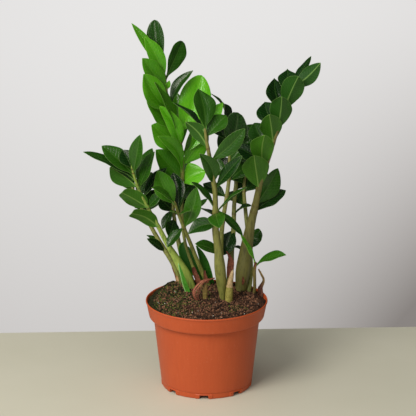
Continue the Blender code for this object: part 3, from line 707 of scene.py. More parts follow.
# %% Mix surface
SOIL_EDGE = 0.1172
SOIL_CROWN = 0.0040
SOIL_TILT = 0.0028
SOIL_WAVES = (0.0011, 0.0007)
SOIL_CLEARANCE = 0.0007
MOSS_MOUND = (-0.050, 0.049, 0.0066, 0.022)
CRUMB_WAVES = [(0.0013, 0.0060, 11), (0.0009, 0.0027, 12), (0.0004, 0.0012, 13)]
CALM_EDGE = 0.006
CALM_SHARE = 0.35
MIX_AROUND = 320
MIX_INWARD = 100


def soil_height(x, y):
    """Height of the packed soil: a low uneven mound, higher at the back.

    The mound is crown (1 - r^2) plus tilt times y over the radius, and two waves cross it.
    """
    radius = inner_radius(SOIL_EDGE)
    r = np.hypot(x, y) / radius
    mound = SOIL_EDGE + SOIL_CROWN * (1 - r**2) + SOIL_TILT * y / radius
    coarse = SOIL_WAVES[0] * np.sin(170 * x + 1.0) * np.cos(150 * y)
    fine = SOIL_WAVES[1] * np.sin(95 * x - 210 * y)
    return mound + coarse + fine


def mix_height(x, y):
    """Height of the crumbly surface: the soil, a mossy rise at the left back, and crumbs.

    The rise is a bell, and each of the three sizes of crumb is noise of its own height and
    spacing. Rise and crumbs fall to a small share at the pot's wall, where they stay clear of it.
    """
    mx, my, rise, wide = MOSS_MOUND
    uneven = rise * np.exp(-((x - mx)**2 + (y - my)**2) / wide**2)
    for height, spacing, seed in CRUMB_WAVES:
        uneven = uneven + height * lattice_noise(x, y, spacing, seed)
    inside = slope_step(np.hypot(x, y), inner_radius(SOIL_EDGE), inner_radius(SOIL_EDGE) - CALM_EDGE)
    return soil_height(x, y) + uneven * (CALM_SHARE + (1 - CALM_SHARE) * inside)


def mix_rings():
    """Rings of the mix: out over the pot's floor, up its wall, and in over the surface."""
    floor = CHANNEL_HEIGHT + WALL + 0.0004
    turn = np.linspace(0, 2 * math.pi, MIX_AROUND, endpoint=False)
    under = [(0.0005, WALL + 0.0004), (PAD_RADIUS - 0.0024, WALL + 0.0004), (PAD_RADIUS - 0.0006, floor),
             (inner_radius(floor) - 0.0022, floor), (inner_radius(floor + 0.003) - 0.0006, floor + 0.003),
             (NECK_RADIUS - WALL - 0.0006, NECK_HEIGHT + 0.0008),
             (COLLAR_FOOT_RADIUS - WALL - 0.0016, NECK_HEIGHT + 0.0021),
             (inner_radius(0.114) - SOIL_CLEARANCE, 0.114)]
    edge = inner_radius(SOIL_EDGE) - SOIL_CLEARANCE
    rings = [np.column_stack([r * np.cos(turn), r * np.sin(turn), np.full(MIX_AROUND, z)])
             for r, z in under]
    for share in np.linspace(1.0, 0.006, MIX_INWARD):
        x, y = edge * share * np.cos(turn), edge * share * np.sin(turn)
        rings.append(np.column_stack([x, y, mix_height(x, y)]))
    return np.array(rings)


rings = mix_rings()
print("mix surface from", rings[8:, :, 2].min().round(4), "to", rings[..., 2].max().round(4))

# %% [markdown]
# ## Peat and moss
#
# Peat is reddish brown on its raised crumbs and almost black in the hollows between them, and that
# black is painted shade; moss is darker in the hollows in the same way. Cushion moss grows where it
# stays damp, here on the left and in small patches. How mossy each point is, is worked out from its
# place and kept on the point, and the material mixes the two by it.

# %% Peat and moss
MOSS_PATCHES = [(0.002, 0.0, 0.011), (0.040, -0.030, 0.013), (-0.046, -0.030, 0.012)]
CLUMP_MM = 3.846
MOSS_MM = 3.030


def mix_material():
    """Peat and fine bark: very dark, matt, reddish brown in clumps, with moss on the left."""
    material, tree, shader, place = new_material("peat_and_bark_mix")
    clump = add(tree, NOISE, {}, {"Vector": place, "Scale": cells(CLUMP_MM),
                                  "Detail": 6.0, "Roughness": 0.7})
    # painted shade: the low places of the clump bump are near black, the raised ones reddish brown
    peat = add(tree, RANGE, {}, {0: clump, 1: 0.38, 2: 0.66, 3: 0.0, 4: 1.0})
    base = add(tree, MIX, COLOUR, {0: peat, 6: linear("#0c0805"), 7: linear("#533726")}, 2)
    moss = add(tree, ATTRIBUTE, {"attribute_name": "mossy"}, {}, "Fac")
    patch = add(tree, NOISE, {}, {"Vector": place, "Scale": cells(MOSS_MM), "Detail": 4.0})
    patch = add(tree, MATH, ADD, {0: patch, 1: moss})
    patch = add(tree, RANGE, {}, {0: patch, 1: 0.92, 2: 1.15, 3: 0.0, 4: 0.85})
    green = add(tree, MIX, COLOUR, {0: peat, 6: linear("#0a0d05"), 7: linear("#323a18")}, 2)
    base = add(tree, MIX, COLOUR, {0: patch, 6: base, 7: green}, 2)
    bump = add(tree, BUMP, {}, {"Strength": 1.0, "Distance": 0.0014, "Height": clump})
    put(tree, shader, {"Base Color": base, "Normal": bump,
                       "Roughness": 0.93, "Specular IOR Level": 0.25})
    return material


def mossiness(x, y):
    """How mossy a place is, from 0 to 1: the left of the pot and three patches, all uneven.

    The left is 0.42 less x over 75 mm, and less so in front. Each patch is a bell.
    """
    left = 0.42 - x / 0.075 - 0.30 * slope_step(-y, 0.0, 0.07)
    patches = 0.0
    for px, py, wide in MOSS_PATCHES:
        patches = patches + np.exp(-((x - px)**2 + (y - py)**2) / wide**2)
    return np.clip(np.maximum(left, patches * 0.8) + 0.40 * lattice_noise(x, y, 0.012, 21), 0, 1)


make_piece("potting_mix", [{"rings": rings, "mossy": mossiness(rings[..., 0], rings[..., 1])}],
           mix_material(), ["soil"])

# %% [markdown]
# ## Loose crumbs
#
# Broken peat, white perlite, bark chips and moss lie loose on the mix. A crumb is a twenty-sided
# lump, stretched, turned and dented at random, which is plenty at this size. Thousands of them are
# one mesh: the lump's twelve corners are multiplied by every crumb's own turn and size at once.

# %% A mesh of lumps
OUTER_CRUMB = 0.0715
DENT = 0.28
GOLDEN = (1 + math.sqrt(5)) / 2
LUMP_CORNERS = np.array([
    (-1, GOLDEN, 0), (1, GOLDEN, 0), (-1, -GOLDEN, 0), (1, -GOLDEN, 0), (0, -1, GOLDEN), (0, 1, GOLDEN),
    (0, -1, -GOLDEN), (0, 1, -GOLDEN), (GOLDEN, 0, -1), (GOLDEN, 0, 1), (-GOLDEN, 0, -1), (-GOLDEN, 0, 1),
]) / math.hypot(1, GOLDEN)
LUMP_FACES = np.array([
    (0, 11, 5), (0, 5, 1), (0, 1, 7), (0, 7, 10), (0, 10, 11), (1, 5, 9), (5, 11, 4), (11, 10, 2),
    (10, 7, 6), (7, 1, 8), (3, 9, 4), (3, 4, 2), (3, 2, 6), (3, 6, 8), (3, 8, 9), (4, 9, 5),
    (2, 4, 11), (6, 2, 10), (8, 6, 7), (9, 8, 1),
])


def random_turns(random, count):
    """Random rotations, as three by three matrices made from random unit quaternions."""
    q = random.normal(size=(count, 4))
    w, x, y, z = (q / np.linalg.norm(q, axis=1, keepdims=True)).T
    return np.array([[1 - 2 * (y*y + z*z), 2 * (x*y - z*w), 2 * (x*z + y*w)],
                     [2 * (x*y + z*w), 1 - 2 * (x*x + z*z), 2 * (y*z - x*w)],
                     [2 * (x*z - y*w), 2 * (y*z + x*w), 1 - 2 * (x*x + y*y)]]).transpose(2, 0, 1)


def scatter(random, count, lift):
    """Random places, spread evenly over the mix and lifted a little out of it."""
    radius = np.sqrt(random.uniform(0, 1, count)) * OUTER_CRUMB
    turn = random.uniform(0, 2 * math.pi, count)
    x, y = radius * np.cos(turn), radius * np.sin(turn)
    return np.column_stack([x, y, mix_height(x, y) + lift])


def lumps(name, places, sizes, stretch, tints, material, seed):
    """One mesh of dented lumps: corners = place + turn (size stretch corner (1 + dent))."""
    random = np.random.default_rng(seed)
    count, corners = len(places), len(LUMP_CORNERS)
    shape = LUMP_CORNERS * stretch * (1 + DENT * random.uniform(-1, 1, (count, corners, 1)))
    turns = random_turns(random, count)
    points = np.einsum("nij,nkj->nki", turns, shape * sizes[:, None, None]) + places[:, None]
    mesh = bpy.data.meshes.new(name)
    faces = (LUMP_FACES + np.arange(count)[:, None, None] * corners).reshape(-1, 3)
    mesh.from_pydata(points.reshape(-1, 3), [], faces.tolist())
    keep_numbers(mesh, "tint", np.repeat(tints, corners))
    return finish_piece(name, mesh, material)


print("a lump has", len(LUMP_FACES), "faces and", len(LUMP_CORNERS), "corners")

# %% [markdown]
# ## Loose pieces on the mix
#
# Peat and bark are matt and brown, perlite is white and bubbly, moss is green. All of them differ
# from crumb to crumb more than within one, so each crumb has its own tint between a dark and a
# light colour. Small crumbs are far more common than large ones.

# %% Crumbs, perlite, bark and moss
GRAIN_OF_CRUMB_MM = 0.7692
CRUMB_COUNT, PERLITE_COUNT, BARK_COUNT, MOSS_COUNT = 2600, 44, 170, 4200


def crumb_material(name, dark, light, roughness):
    """A matt crumb: its colour lies between two, by its own tint, with grain under a millimetre."""
    material, tree, shader, place = new_material(name)
    tint = add(tree, ATTRIBUTE, {"attribute_name": "tint"}, {}, "Fac")
    grain = add(tree, NOISE, {}, {"Vector": place, "Scale": cells(GRAIN_OF_CRUMB_MM), "Detail": 3.0})
    share = add(tree, MATH, MULTIPLY_ADD, {0: grain, 1: 0.5, 2: tint})
    share = add(tree, RANGE, {}, {0: share, 1: 0.25, 2: 1.25, 3: 0.0, 4: 1.0})
    base = add(tree, MIX, COLOUR, {0: share, 6: linear(dark), 7: linear(light)}, 2)
    bump = add(tree, BUMP, {}, {"Strength": 0.6, "Distance": 0.0003, "Height": grain})
    put(tree, shader, {"Base Color": base, "Normal": bump,
                       "Roughness": roughness, "Specular IOR Level": 0.3})
    return material


random = np.random.default_rng(5)
sizes = 0.0006 + 0.0022 * random.beta(1.3, 3.8, CRUMB_COUNT)
places = scatter(random, CRUMB_COUNT, 0.00015)
lumps("mix_crumbs", places, sizes, (1.0, 0.8, 0.65), random.uniform(0, 1, CRUMB_COUNT),
      crumb_material("broken_peat", "#0d0805", "#8c634a", 0.92), seed=6)
sizes = random.uniform(0.0004, 0.0009, PERLITE_COUNT)
places = scatter(random, PERLITE_COUNT, 0.00018)
lumps("mix_perlite", places, sizes, (1.0, 0.9, 0.8), random.uniform(0.3, 1, PERLITE_COUNT),
      crumb_material("expanded_perlite", "#8f8a7c", "#e8e4d8", 0.85), seed=7)
sizes = random.uniform(0.0012, 0.0028, BARK_COUNT)
places = scatter(random, BARK_COUNT, 0.00018)
lumps("mix_bark", places, sizes, (1.0, 0.34, 0.2), random.uniform(0, 1, BARK_COUNT),
      crumb_material("composted_bark", "#2c1b12", "#93705a", 0.8), seed=8)
random = np.random.default_rng(9)
places = scatter(random, MOSS_COUNT, 0.00015)
mossy = mossiness(places[:, 0], places[:, 1])
places = places[mossy > random.uniform(0.15, 1.05, MOSS_COUNT)]
sizes = random.uniform(0.0004, 0.0012, len(places))
lumps("mix_moss", places, sizes, (1.0, 0.7, 0.7), random.uniform(0, 1, len(places)),
      crumb_material("cushion_moss", "#0a0f06", "#6f7f34", 0.9), seed=10)

# %% [markdown]
# ## Leaflets
#
# A ZZ leaflet is a thick waxy blade: glossy and dark above, paler and duller beneath. No two stand
# the same way, so each is described by a few numbers that can be read or judged in the picture:
# where it leaves the stem, where its tip is, how wide it is and how it is turned. The number fresh
# is how young and light green it is.

# %% How a leaflet is described
def leaf(root_row, tip_column, tip_row, toward, wide, face,
         arch=0.045, sway=0.0, cup=0.25, peak=0.55, blunt=0.0, fresh=None):
    """One leaflet: where it leaves the stem, where its tip is seen, and how it is turned.

    toward is how many millimetres nearer than its root the tip lies. wide is the blade's width in
    millimetres. face is the turn about the chord: 0 shows the upper side, 180 the under side, and
    90 turns the upper side to the right of the way the leaflet points. arch and sway bow the
    midrib up and sideways by a share of the length, and cup raises the edges. peak is how far
    along the blade is widest, and blunt rounds its tip off, or draws it out where it is below zero.
    """
    return dict(root_row=root_row, tip=(tip_column, tip_row), toward=toward, wide=wide, face=face,
                arch=arch, sway=sway, cup=cup, peak=peak, blunt=blunt, fresh=fresh)


print("a leaflet:", leaf(100, 150.0, 80.0, 0, 25, 0))

# %% [markdown]
# ## Stems and leaflets of every frond
#
# Eleven fronds rise from the soil: tall ones left and right, shorter ones in front, and a crowd at
# the back. A stem's row gives column, row, millimetres in front of the pot's axis and diameter in
# millimetres. Columns and rows were read off the picture, and depths were judged from what covers
# what.

# %% Stems and leaflets of every frond
FRONDS = {
    "frond_tall_left": dict(
        stem=[(201.0, 287.0, -51, 7.0), (193.5, 268, -54, 4.6), (184.6, 240, -58, 4.2),
              (182.0, 212, -60, 4.6), (182.5, 175, -60, 5.0), (181.0, 148, -58, 5.2),
              (171.5, 115, -53, 4.6), (166.5, 92, -48, 3.8), (165.0, 76, -45, 2.8)],
        leaves=[
            leaf(77.5, 131.4, 23.4, -5, 14, 14, sway=0.03, fresh=0.45),
            leaf(78, 144.6, 36.6, 3, 22, 12, sway=0.03, peak=0.52, fresh=0.6),
            leaf(77, 154.5, 19.8, -18, 23.5, -12, sway=-0.03, cup=0.3, peak=0.68, blunt=0.3, fresh=0.05),
            leaf(80, 182.7, 41.3, -30, 25, 30, sway=-0.03, peak=0.62, blunt=0.3, fresh=0.10),
            leaf(96, 142.5, 58.3, 22, 28, 26, peak=0.6, fresh=0.5),
            leaf(107, 192.5, 70.2, -14, 18, -42, sway=-0.07, cup=0.4, fresh=0.05),
            leaf(112, 142.9, 74.0, 34, 33, 20, sway=-0.07, peak=0.6, fresh=0.66),
            leaf(137, 155.6, 82.0, 34, 22, 62, fresh=0.3),
            leaf(136, 201.5, 75.2, -22, 43, 6, sway=0.04, cup=0.15, peak=0.6, blunt=0.2, fresh=0.9),
            leaf(127, 147.0, 101.3, 21, 37, 34, fresh=0.42),
            leaf(147, 160.2, 106.3, 25, 21, 16, sway=0.06, peak=0.42, blunt=0.3, fresh=1.0),
            leaf(150, 151.6, 125.0, 10, 42, 25, fresh=0.48),
            leaf(150, 176.0, 92.0, -30, 30, 0, fresh=0.35),
            leaf(157, 223.0, 102.5, -34, 27, -8, fresh=0.9),
            leaf(157, 190.3, 131.0, 10, 12, 60, fresh=0.2),
            leaf(166, 205.0, 130.0, -17, 33, 34, cup=0.2, fresh=0.7),
            leaf(174, 158.4, 136.4, 50, 20, 34, sway=0.12, fresh=0.75),
            leaf(180, 155.8, 149.8, 4, 33, 25, sway=-0.03, fresh=0.32),
            leaf(184, 205.5, 171.5, 4, 32, -20, sway=-0.1, fresh=0.9),
            leaf(90, 169.5, 80.5, 6, 7, 0, fresh=0.7),
        ],
    ),
    "frond_left": dict(
        stem=[(191.0, 289.0, -43, 13.0), (186.0, 276, -43, 14.5), (175.8, 258, -40, 10.5),
              (166.8, 243, -35, 7.2), (158.0, 226, -29, 5.8), (148.0, 208, -21, 4.6),
              (138.6, 189, -13, 3.6), (133.2, 173, -7, 3.0), (131.5, 165, -4, 2.6)],
        leaves=[
            leaf(179, 83.6, 151.6, 6, 21, 58, fresh=0.05),
            leaf(175, 101.7, 146.0, -9, 28, 32),
            leaf(169, 122.3, 150.0, -10, 24, 20),
            leaf(173, 140.5, 134.6, 16, 22, -32, arch=0.08, sway=0.05, fresh=0.12),
            leaf(189, 154.6, 151.8, 8, 26, -55, sway=0.05, cup=0.2),
            leaf(185, 152.3, 148.5, -41, 22, -35),
            leaf(188, 109.3, 167.6, 14, 26, 218, sway=-0.08, cup=0.6, fresh=0.2),
            leaf(207.5, 121.7, 192.5, 26, 25, 156, arch=0.04, peak=0.38, blunt=0.55, fresh=0.28),
            leaf(208, 161.5, 193.5, 6, 15, -34),
            leaf(227, 131.0, 213.0, 38, 20, 160, sway=-0.05, peak=0.36, blunt=0.62, fresh=0.30),
            leaf(198, 166.8, 167.5, -25, 20, -45, fresh=0.0),
        ],
    ),
    "frond_left_back": dict(
        stem=[(180.0, 284.0, -55, 7.0), (175.2, 268, -58, 6.8), (168.5, 256, -62, 6.5),
              (161.0, 244, -68, 6.2), (151.8, 228, -76, 5.6), (143.5, 212, -84, 4.8),
              (136.0, 196, -91, 4.0), (130.0, 182, -97, 2.8)],
        leaves=[
            leaf(183, 114.0, 161.0, -18, 26, 25),
            leaf(184, 140.0, 152.0, -14, 23, -10),
            leaf(193, 118.0, 173.0, -15, 24, 35),
            leaf(198, 152.0, 172.0, -30, 27, -20),
            leaf(212, 138.0, 205.5, -16, 18, 40),
            leaf(213, 160.0, 190.0, -31, 26, -15),
            leaf(252, 146.8, 238.8, 16, 13, 35),
            leaf(246, 146.5, 235.4, -14, 13, 62),
        ],
    ),
    "frond_back_left": dict(
        stem=[(192.5, 283.5, -62, 7.0), (184.5, 264, -70, 7.5), (178.5, 242, -80, 6.5),
              (174.5, 220, -90, 5.2), (172.5, 202, -98, 4.2), (171.5, 188, -104, 2.8)],
        leaves=[
            leaf(189, 165.0, 154.0, -12, 27, 15),
            leaf(190, 188.0, 156.0, -25, 27, -15),
            leaf(203, 196.0, 180.0, -24, 28, -15),
            leaf(212, 157.5, 197.0, -1, 25, 30),
            leaf(215, 196.0, 200.0, -30, 28, -20),
            leaf(209, 162.5, 229.0, 14, 14, 30),
            leaf(219, 168.5, 236.8, 35, 20, -10),
        ],
    ),
    "frond_mid_left": dict(
        stem=[(208.8, 287.5, -50, 6.6), (203.6, 275.5, -49, 6.2), (196.9, 259.7, -45, 5.6),
              (189.8, 242, -39, 5.2), (183.6, 227, -32, 5.0), (178.5, 214, -26, 4.4),
              (174.2, 201, -20, 3.2)],
        leaves=[
            leaf(205, 157.5, 170.5, 6, 29, 10, sway=-0.06, fresh=0.3),
            leaf(204, 152.6, 187.0, 42, 16, 62, arch=0.04, fresh=0.25),
            leaf(212, 173.0, 172.5, -25, 21, -14, sway=0.09, peak=0.6, fresh=0.0),
            leaf(213, 177.5, 181.0, -30, 16, 15, fresh=0.15),
            leaf(228, 197.0, 187.0, 12, 24, -14, sway=0.07, cup=0.35, fresh=0.2),
            leaf(214, 190.5, 210.5, 20, 14, -72, arch=0.02),
            leaf(213.5, 170.0, 211.3, 10, 8, 80),
            leaf(226, 207.5, 198.0, -34, 22, -60),
            leaf(227, 167.6, 247.4, 12, 19, 44, fresh=0.05),
        ],
    ),
    "frond_centre": dict(
        stem=[(222.4, 299.5, -3, 7.0), (221.5, 283, -2, 13.5), (220.0, 268, 0, 15.0),
              (218.3, 250, 3, 11.0), (215.6, 230, 8, 9.4), (215.4, 211, 13, 7.6),
              (215.0, 192, 18, 6.6), (213.0, 178, 22, 6.0), (209.6, 157, 29, 5.4),
              (206.5, 140, 35, 4.4), (204.8, 128, 39, 3.0)],
        leaves=[
            leaf(129, 198.2, 88.7, -28, 33, 30, arch=0.02, sway=0.06, blunt=-0.15, fresh=0.12),
            leaf(137, 226.3, 115.6, -22, 27, -25, cup=0.35),
            leaf(131, 173.0, 102.5, -28, 24, 75, fresh=0.0),
            leaf(148.3, 185.6, 121.6, 14, 22, 158, sway=-0.06, peak=0.48, fresh=0.14),
            leaf(161, 245.0, 128.5, 2, 23, 12, arch=0.02, sway=0.04, cup=0.15, fresh=0.12),
            leaf(184, 199.5, 153.5, 24, 22, 16, arch=0.03, sway=0.10, peak=0.45, fresh=0.15),
            leaf(189, 241.6, 155.9, 12, 18, -28, arch=0.02, cup=0.15, fresh=0.02),
            leaf(209, 191.5, 181.9, 4, 22, 70, arch=0.05, fresh=0.1),
            leaf(212, 247.0, 187.0, 12, 21, -82, arch=0.02),
            leaf(213, 219.5, 228.3, 40, 23, 0, arch=0.1, fresh=0.17),
            leaf(224, 187.8, 233.6, 8, 24, 35, sway=0.1, peak=0.38, fresh=0.06),
            leaf(209, 243.0, 235.5, -8, 13, -35),
        ],
    ),
    "frond_back_centre": dict(
        stem=[(220.8, 287.5, -46, 8.0), (220.5, 262, -50, 8.2), (221.0, 240, -56, 6.8),
              (223.2, 218, -63, 6.0), (226.5, 198, -70, 5.6), (229.0, 178, -78, 5.0),
              (229.5, 158, -86, 4.4), (228.5, 140, -93, 3.8), (227.0, 126, -98, 2.8)],
        leaves=[
            leaf(127, 211.0, 93.0, -26, 24, 82, arch=0.14),
            leaf(128, 224.4, 103.8, 2, 24, 62, cup=0.3),
            leaf(141, 203.0, 112.0, -20, 22, 15),
            leaf(146, 238.0, 112.4, 10, 32, -6, sway=0.07, blunt=0.45),
            leaf(162, 252.0, 138.0, -4, 28, -20),
            leaf(176, 203.0, 162.0, -18, 27, 25),
            leaf(181, 250.0, 164.0, -22, 27, -30),
            leaf(197, 203.0, 184.0, -12, 20, 30),
            leaf(253, 195.5, 243.6, 20, 20, 40),
            leaf(222, 199.0, 208.0, -26, 22, 80),
        ],
    ),
    "frond_back": dict(
        stem=[(229.2, 285.0, -57, 8.4), (230.4, 268, -61, 9.5), (231.6, 250, -67, 7.4),
              (233.6, 229, -76, 6.4), (234.2, 205, -88, 5.8), (236.2, 182, -100, 5.2),
              (238.4, 162, -112, 4.2), (239.6, 149, -119, 2.8)],
        leaves=[
            leaf(152, 243.5, 122.0, -14, 27, 8),
            leaf(151, 257.0, 124.0, -30, 28, -15),
            leaf(163, 219.0, 134.0, -21, 29, 20),
            leaf(166, 262.0, 142.0, -4, 29, -20),
            leaf(182, 214.0, 158.0, -18, 29, 20),
            leaf(190, 262.0, 170.0, -44, 28, -25),
            leaf(214, 251.5, 206.0, 14, 18, -80, arch=0.1),
            leaf(229, 223.5, 255.0, 19, 27, 20),
            leaf(246, 243.0, 250.0, 10, 14, -72, arch=0.04),
        ],
    ),
    "frond_right": dict(
        stem=[(240.8, 288.5, -41, 15.5), (242.8, 272, -43, 20.0), (246.2, 250, -46, 17.5),
              (250.4, 226, -45, 12.5), (255.2, 206, -43, 9.6), (259.0, 188, -41, 8.0),
              (264.2, 170, -39, 7.0), (269.8, 154, -37, 6.4), (274.6, 138, -35, 5.8),
              (280.0, 122, -33, 5.2), (285.2, 107, -31, 4.6), (291.0, 93, -28, 4.0),
              (297.0, 80, -25, 2.8)],
        leaves=[
            leaf(88, 320.7, 62.8, 15, 22, 172, arch=0.03, sway=-0.03, peak=0.48, fresh=0.0),
            leaf(86, 311.0, 56.2, -27, 18, -50, cup=0.05, sway=0.03, peak=0.42, fresh=0.0),
            leaf(113, 298.5, 76.2, 30, 30, 178, sway=0.02, peak=0.58, blunt=0.15, fresh=0.04),
            leaf(97, 287.4, 68.5, -34, 29, 6, peak=0.53, blunt=-0.6, fresh=0.0),
            leaf(131, 281.8, 96.8, 31, 30, 180, sway=-0.02, peak=0.54, blunt=0.1, fresh=0.06),
            leaf(113, 274.4, 78.0, -30, 31, 28, sway=-0.10, peak=0.48, blunt=-0.2, fresh=0.0),
            leaf(143, 269.3, 114.2, 28, 30, 184, sway=-0.01, peak=0.46, fresh=0.22),
            leaf(128, 264.8, 101.6, -28, 33, 18, sway=-0.1, blunt=-0.2, fresh=0.0),
            leaf(171, 264.6, 134.5, 34, 32, 178, sway=0.05, peak=0.56, fresh=0.36),
            leaf(150, 254.2, 122.6, -30, 31, 16, sway=-0.07, fresh=0.05),
            leaf(189, 253.9, 155.3, 36, 36.5, 180, peak=0.5, fresh=0.34),
            leaf(165, 236.0, 146.0, -8, 29, 36, fresh=0.0),
            leaf(206, 278.0, 168.3, -14, 32, 36, fresh=0.14),
            leaf(212, 285.6, 190.0, -16, 26, -35, fresh=0.02),
        ],
    ),
    "frond_back_right": dict(
        stem=[(248.6, 291.5, -43, 6.4), (250.6, 268, -61, 6.6), (248.6, 240, -72, 6.0),
              (245.6, 212, -84, 5.4), (244.0, 188, -95, 4.6), (246.0, 171, -103, 3.0)],
        leaves=[
            leaf(172, 251.0, 140.0, -46, 27, 5),
            leaf(173, 266.0, 152.0, -17, 26, -20),
            leaf(184, 229.0, 164.0, -6, 27, 25),
            leaf(192, 268.0, 174.0, -18, 26, -25),
            leaf(206, 229.0, 192.0, -39, 26, 30),
            leaf(236, 261.3, 240.5, 12, 28, -10, blunt=0.5),
        ],
    ),
    "frond_low_right": dict(
        stem=[(254.2, 292.5, -30, 4.6), (254.6, 280, -28, 4.4), (254.6, 268, -26, 4.6),
              (256.4, 262, -25, 3.0)],
        leaves=[
            leaf(263.5, 241.0, 234.6, -6, 16, 68, arch=0.03, cup=0.05, fresh=0.9),
            leaf(264.5, 286.0, 255.0, 12, 24, -61, arch=0.06, cup=0.3, fresh=0.22),
        ],
    ),
}

print(len(FRONDS), "fronds with", sum(len(frond["leaves"]) for frond in FRONDS.values()), "leaflets")

# %% [markdown]
# ## Where a leaflet lies
#
# A leaflet grows out of its stem and ends where its tip is seen. It could be placed and turned by
# hand, but there are more than a hundred. Here its root is found on the stem by its row, and its
# tip by its place in the picture. The turn is counted from the side that faces the viewer.

# %% Where a leaflet lies
STEM_BURIED = 0.017
STALK_SHARE = 0.05
ROOT_HALF_WIDTH = 0.0016
NARROW_HALF_WIDTH = 0.001
TIP_HALF_WIDTH = 0.0005
FULLNESS = 0.8


def leaf_frame(path, spec, t):
    """Midline, across and upper directions, half widths and length of a leaflet, at shares t of it.

    The midline is the straight chord from root to tip, bowed by sin(pi t) times arch up and sway
    across. The half width is sin(pi s^swell)^(fullness - blunt s), s being the share beyond the
    stalk and swell what puts its peak in place. A least half width rounds off root and tip.
    """
    rows = path[::-1, 4]
    root = np.array([np.interp(spec["root_row"], rows, path[::-1, k]) for k in range(3)])
    tip = sight(*spec["tip"], -root[1] / MM + spec["toward"])
    length = np.linalg.norm(tip - root)
    chord = (tip - root) / length
    view = (EYE - root) / np.linalg.norm(EYE - root)
    plain = view - chord * (view @ chord)
    plain = plain / np.linalg.norm(plain)
    beside = np.cross(chord, plain)
    t = t[:, None]
    turn = math.radians(spec["face"])
    upper = math.cos(turn) * plain + math.sin(turn) * beside
    across = np.cross(chord, upper)
    bow = np.sin(np.pi * t) * length
    middle = root + chord * length * t + upper * bow * spec["arch"] + across * bow * spec["sway"]
    s = np.clip((t[:, 0] - STALK_SHARE) / (1 - STALK_SHARE), 0.0, 1.0)
    swell = math.log(0.5) / math.log(spec["peak"])
    outline = np.abs(np.sin(np.pi * s**swell)) ** (FULLNESS - spec["blunt"] * s)
    least = np.interp(t[:, 0], [0.10, 0.3, 1], [ROOT_HALF_WIDTH, NARROW_HALF_WIDTH, TIP_HALF_WIDTH])
    half = ((spec["wide"] * MM / 2 * outline)**4 + least**4) ** 0.25
    return middle, across, upper, half, length


sample = buried_path(FRONDS["frond_right"]["stem"], STEM_BURIED, 18)
_, _, _, half, length = leaf_frame(sample, FRONDS["frond_right"]["leaves"][0], np.linspace(0, 1, 9))
print("a leaflet", round(length / MM, 1), "mm long has half widths of", (half / MM).round(1), "mm")

# %% [markdown]
# ## A leaflet's surface
#
# The blade has a sunken midrib above and a keel beneath, and each half bulges a little. It could be
# a flat outline that is thickened and bent, but then the midrib has no shape. Here the surface is a
# function of two numbers: t along the midrib and u across the blade. The upper and the under side
# join at the edges, so the skin is closed.

# %% A leaflet's surface
STATIONS = 34
COLUMNS = 15
HALF_BULGE = 0.075
RIPPLE = 0.075
CURL = 0.02
EDGE_THICKNESS = 0.00032
BLADE_THICKNESS = 0.0005
KEEL_HEIGHT = 0.0007
KEEL_WIDTH = 0.0009
STALK_THICKNESS = 0.0024
STALK_EDGE = 0.0003


def there_and_back(above, below):
    """Values across the upper side, followed by those of the under side the other way round."""
    return np.concatenate([above, below[:, ::-1]], axis=1)


def leaf_skin(path, spec, random, fresh):
    """A leaflet's closed skin.

    At a share t along the midrib and u from -1 to 1 across, the upper side is the midline plus
    u times the half width across, and upwards the cup, (sqrt(u^2 + 0.02) - 0.14) 1.15, which goes
    from 0 at the midrib to 1 at the edge, a bulge of each half blade, sin(pi |u|), and a seeded
    ripple that grows towards the edges. The under side lies a thickness below, most at the
    midrib, where a keel stands out. Near the root all of that turns into a round stalk.
    """
    # the rings stand closer together near the root and the tip
    even = np.linspace(0, 1, STATIONS)
    t = even * 0.55 + 0.45 * (1 - np.cos(np.pi * even)) / 2
    middle, across, upper, half, length = leaf_frame(path, spec, t)
    u = np.sin(np.linspace(-math.pi / 2, math.pi / 2, COLUMNS))
    blade = slope_step(t, 0.02, 0.14)[:, None]
    phase, beat = random.uniform(0, 2 * math.pi, 2), random.uniform(1.2, 2.4, 2)
    side = (u > 0).astype(int)
    ripple = np.sin(phase[side] + 2 * math.pi * beat[side] * t[:, None]) * np.abs(u)**3
    curl = random.uniform(-CURL, CURL) * length * t[:, None]**4
    wide = half[:, None]
    cup = spec["cup"] * (np.sqrt(u**2 + 0.02) - 0.14) * 1.15
    rise = wide * (cup + HALF_BULGE * np.sin(np.pi * np.abs(u)) + RIPPLE * ripple)
    rise = blade * rise + curl
    top = middle[:, None] + across * (wide * u)[..., None] + upper * rise[..., None]
    inward = np.sqrt(np.clip(1 - u**2, 0, 1))
    thick = EDGE_THICKNESS + BLADE_THICKNESS * inward * (1 - 0.55 * t[:, None])
    keel = KEEL_HEIGHT * np.exp(-(u * wide / KEEL_WIDTH)**2) * (1 - t[:, None])
    stalk = STALK_THICKNESS * inward + STALK_EDGE
    thick = blade * (thick + keel) + (1 - blade) * stalk
    rings = there_and_back(top, top - upper * thick[..., None])
    mirrored = np.concatenate([u, u[::-1]])
    below = np.concatenate([np.zeros(COLUMNS), np.ones(COLUMNS)])
    return {"rings": rings, "across_mm": mirrored * wide / MM, "along_mm": t[:, None] * length / MM,
            "half_mm": wide / MM + 0 * mirrored, "under": below[None], "fresh": fresh,
            "tone": random.uniform(0, 1), "length_share": t[:, None]}


skin = leaf_skin(sample, FRONDS["frond_right"]["leaves"][0], np.random.default_rng(1), 0.0)
print("a leaflet's rings:", skin["rings"].shape, "and its numbers:", sorted(set(skin) - {"rings"}))

# %% [markdown]
# ## Waxy leaf skin
#
# The wax makes the upper side glossy, with sharp pale highlights, and the under side is duller. A
# picture of a leaf could be used, but it would stretch on each blade. Here the material reads the
# numbers kept on each point: how far it lies from the midrib and from the root, which side it is
# on, and how young the leaflet is. Veins leave the midrib every 4.5 mm and run forward. They are
# finer than a hair in life, and are drawn wider so that they show.

# %% Waxy leaf material
VEIN_MM = 4.5
VEIN_WANDER_MM = 7.143
PORE_MM = 1.111
CLOUD_ACROSS_MM, CLOUD_ALONG_MM = 1.818, 10.0


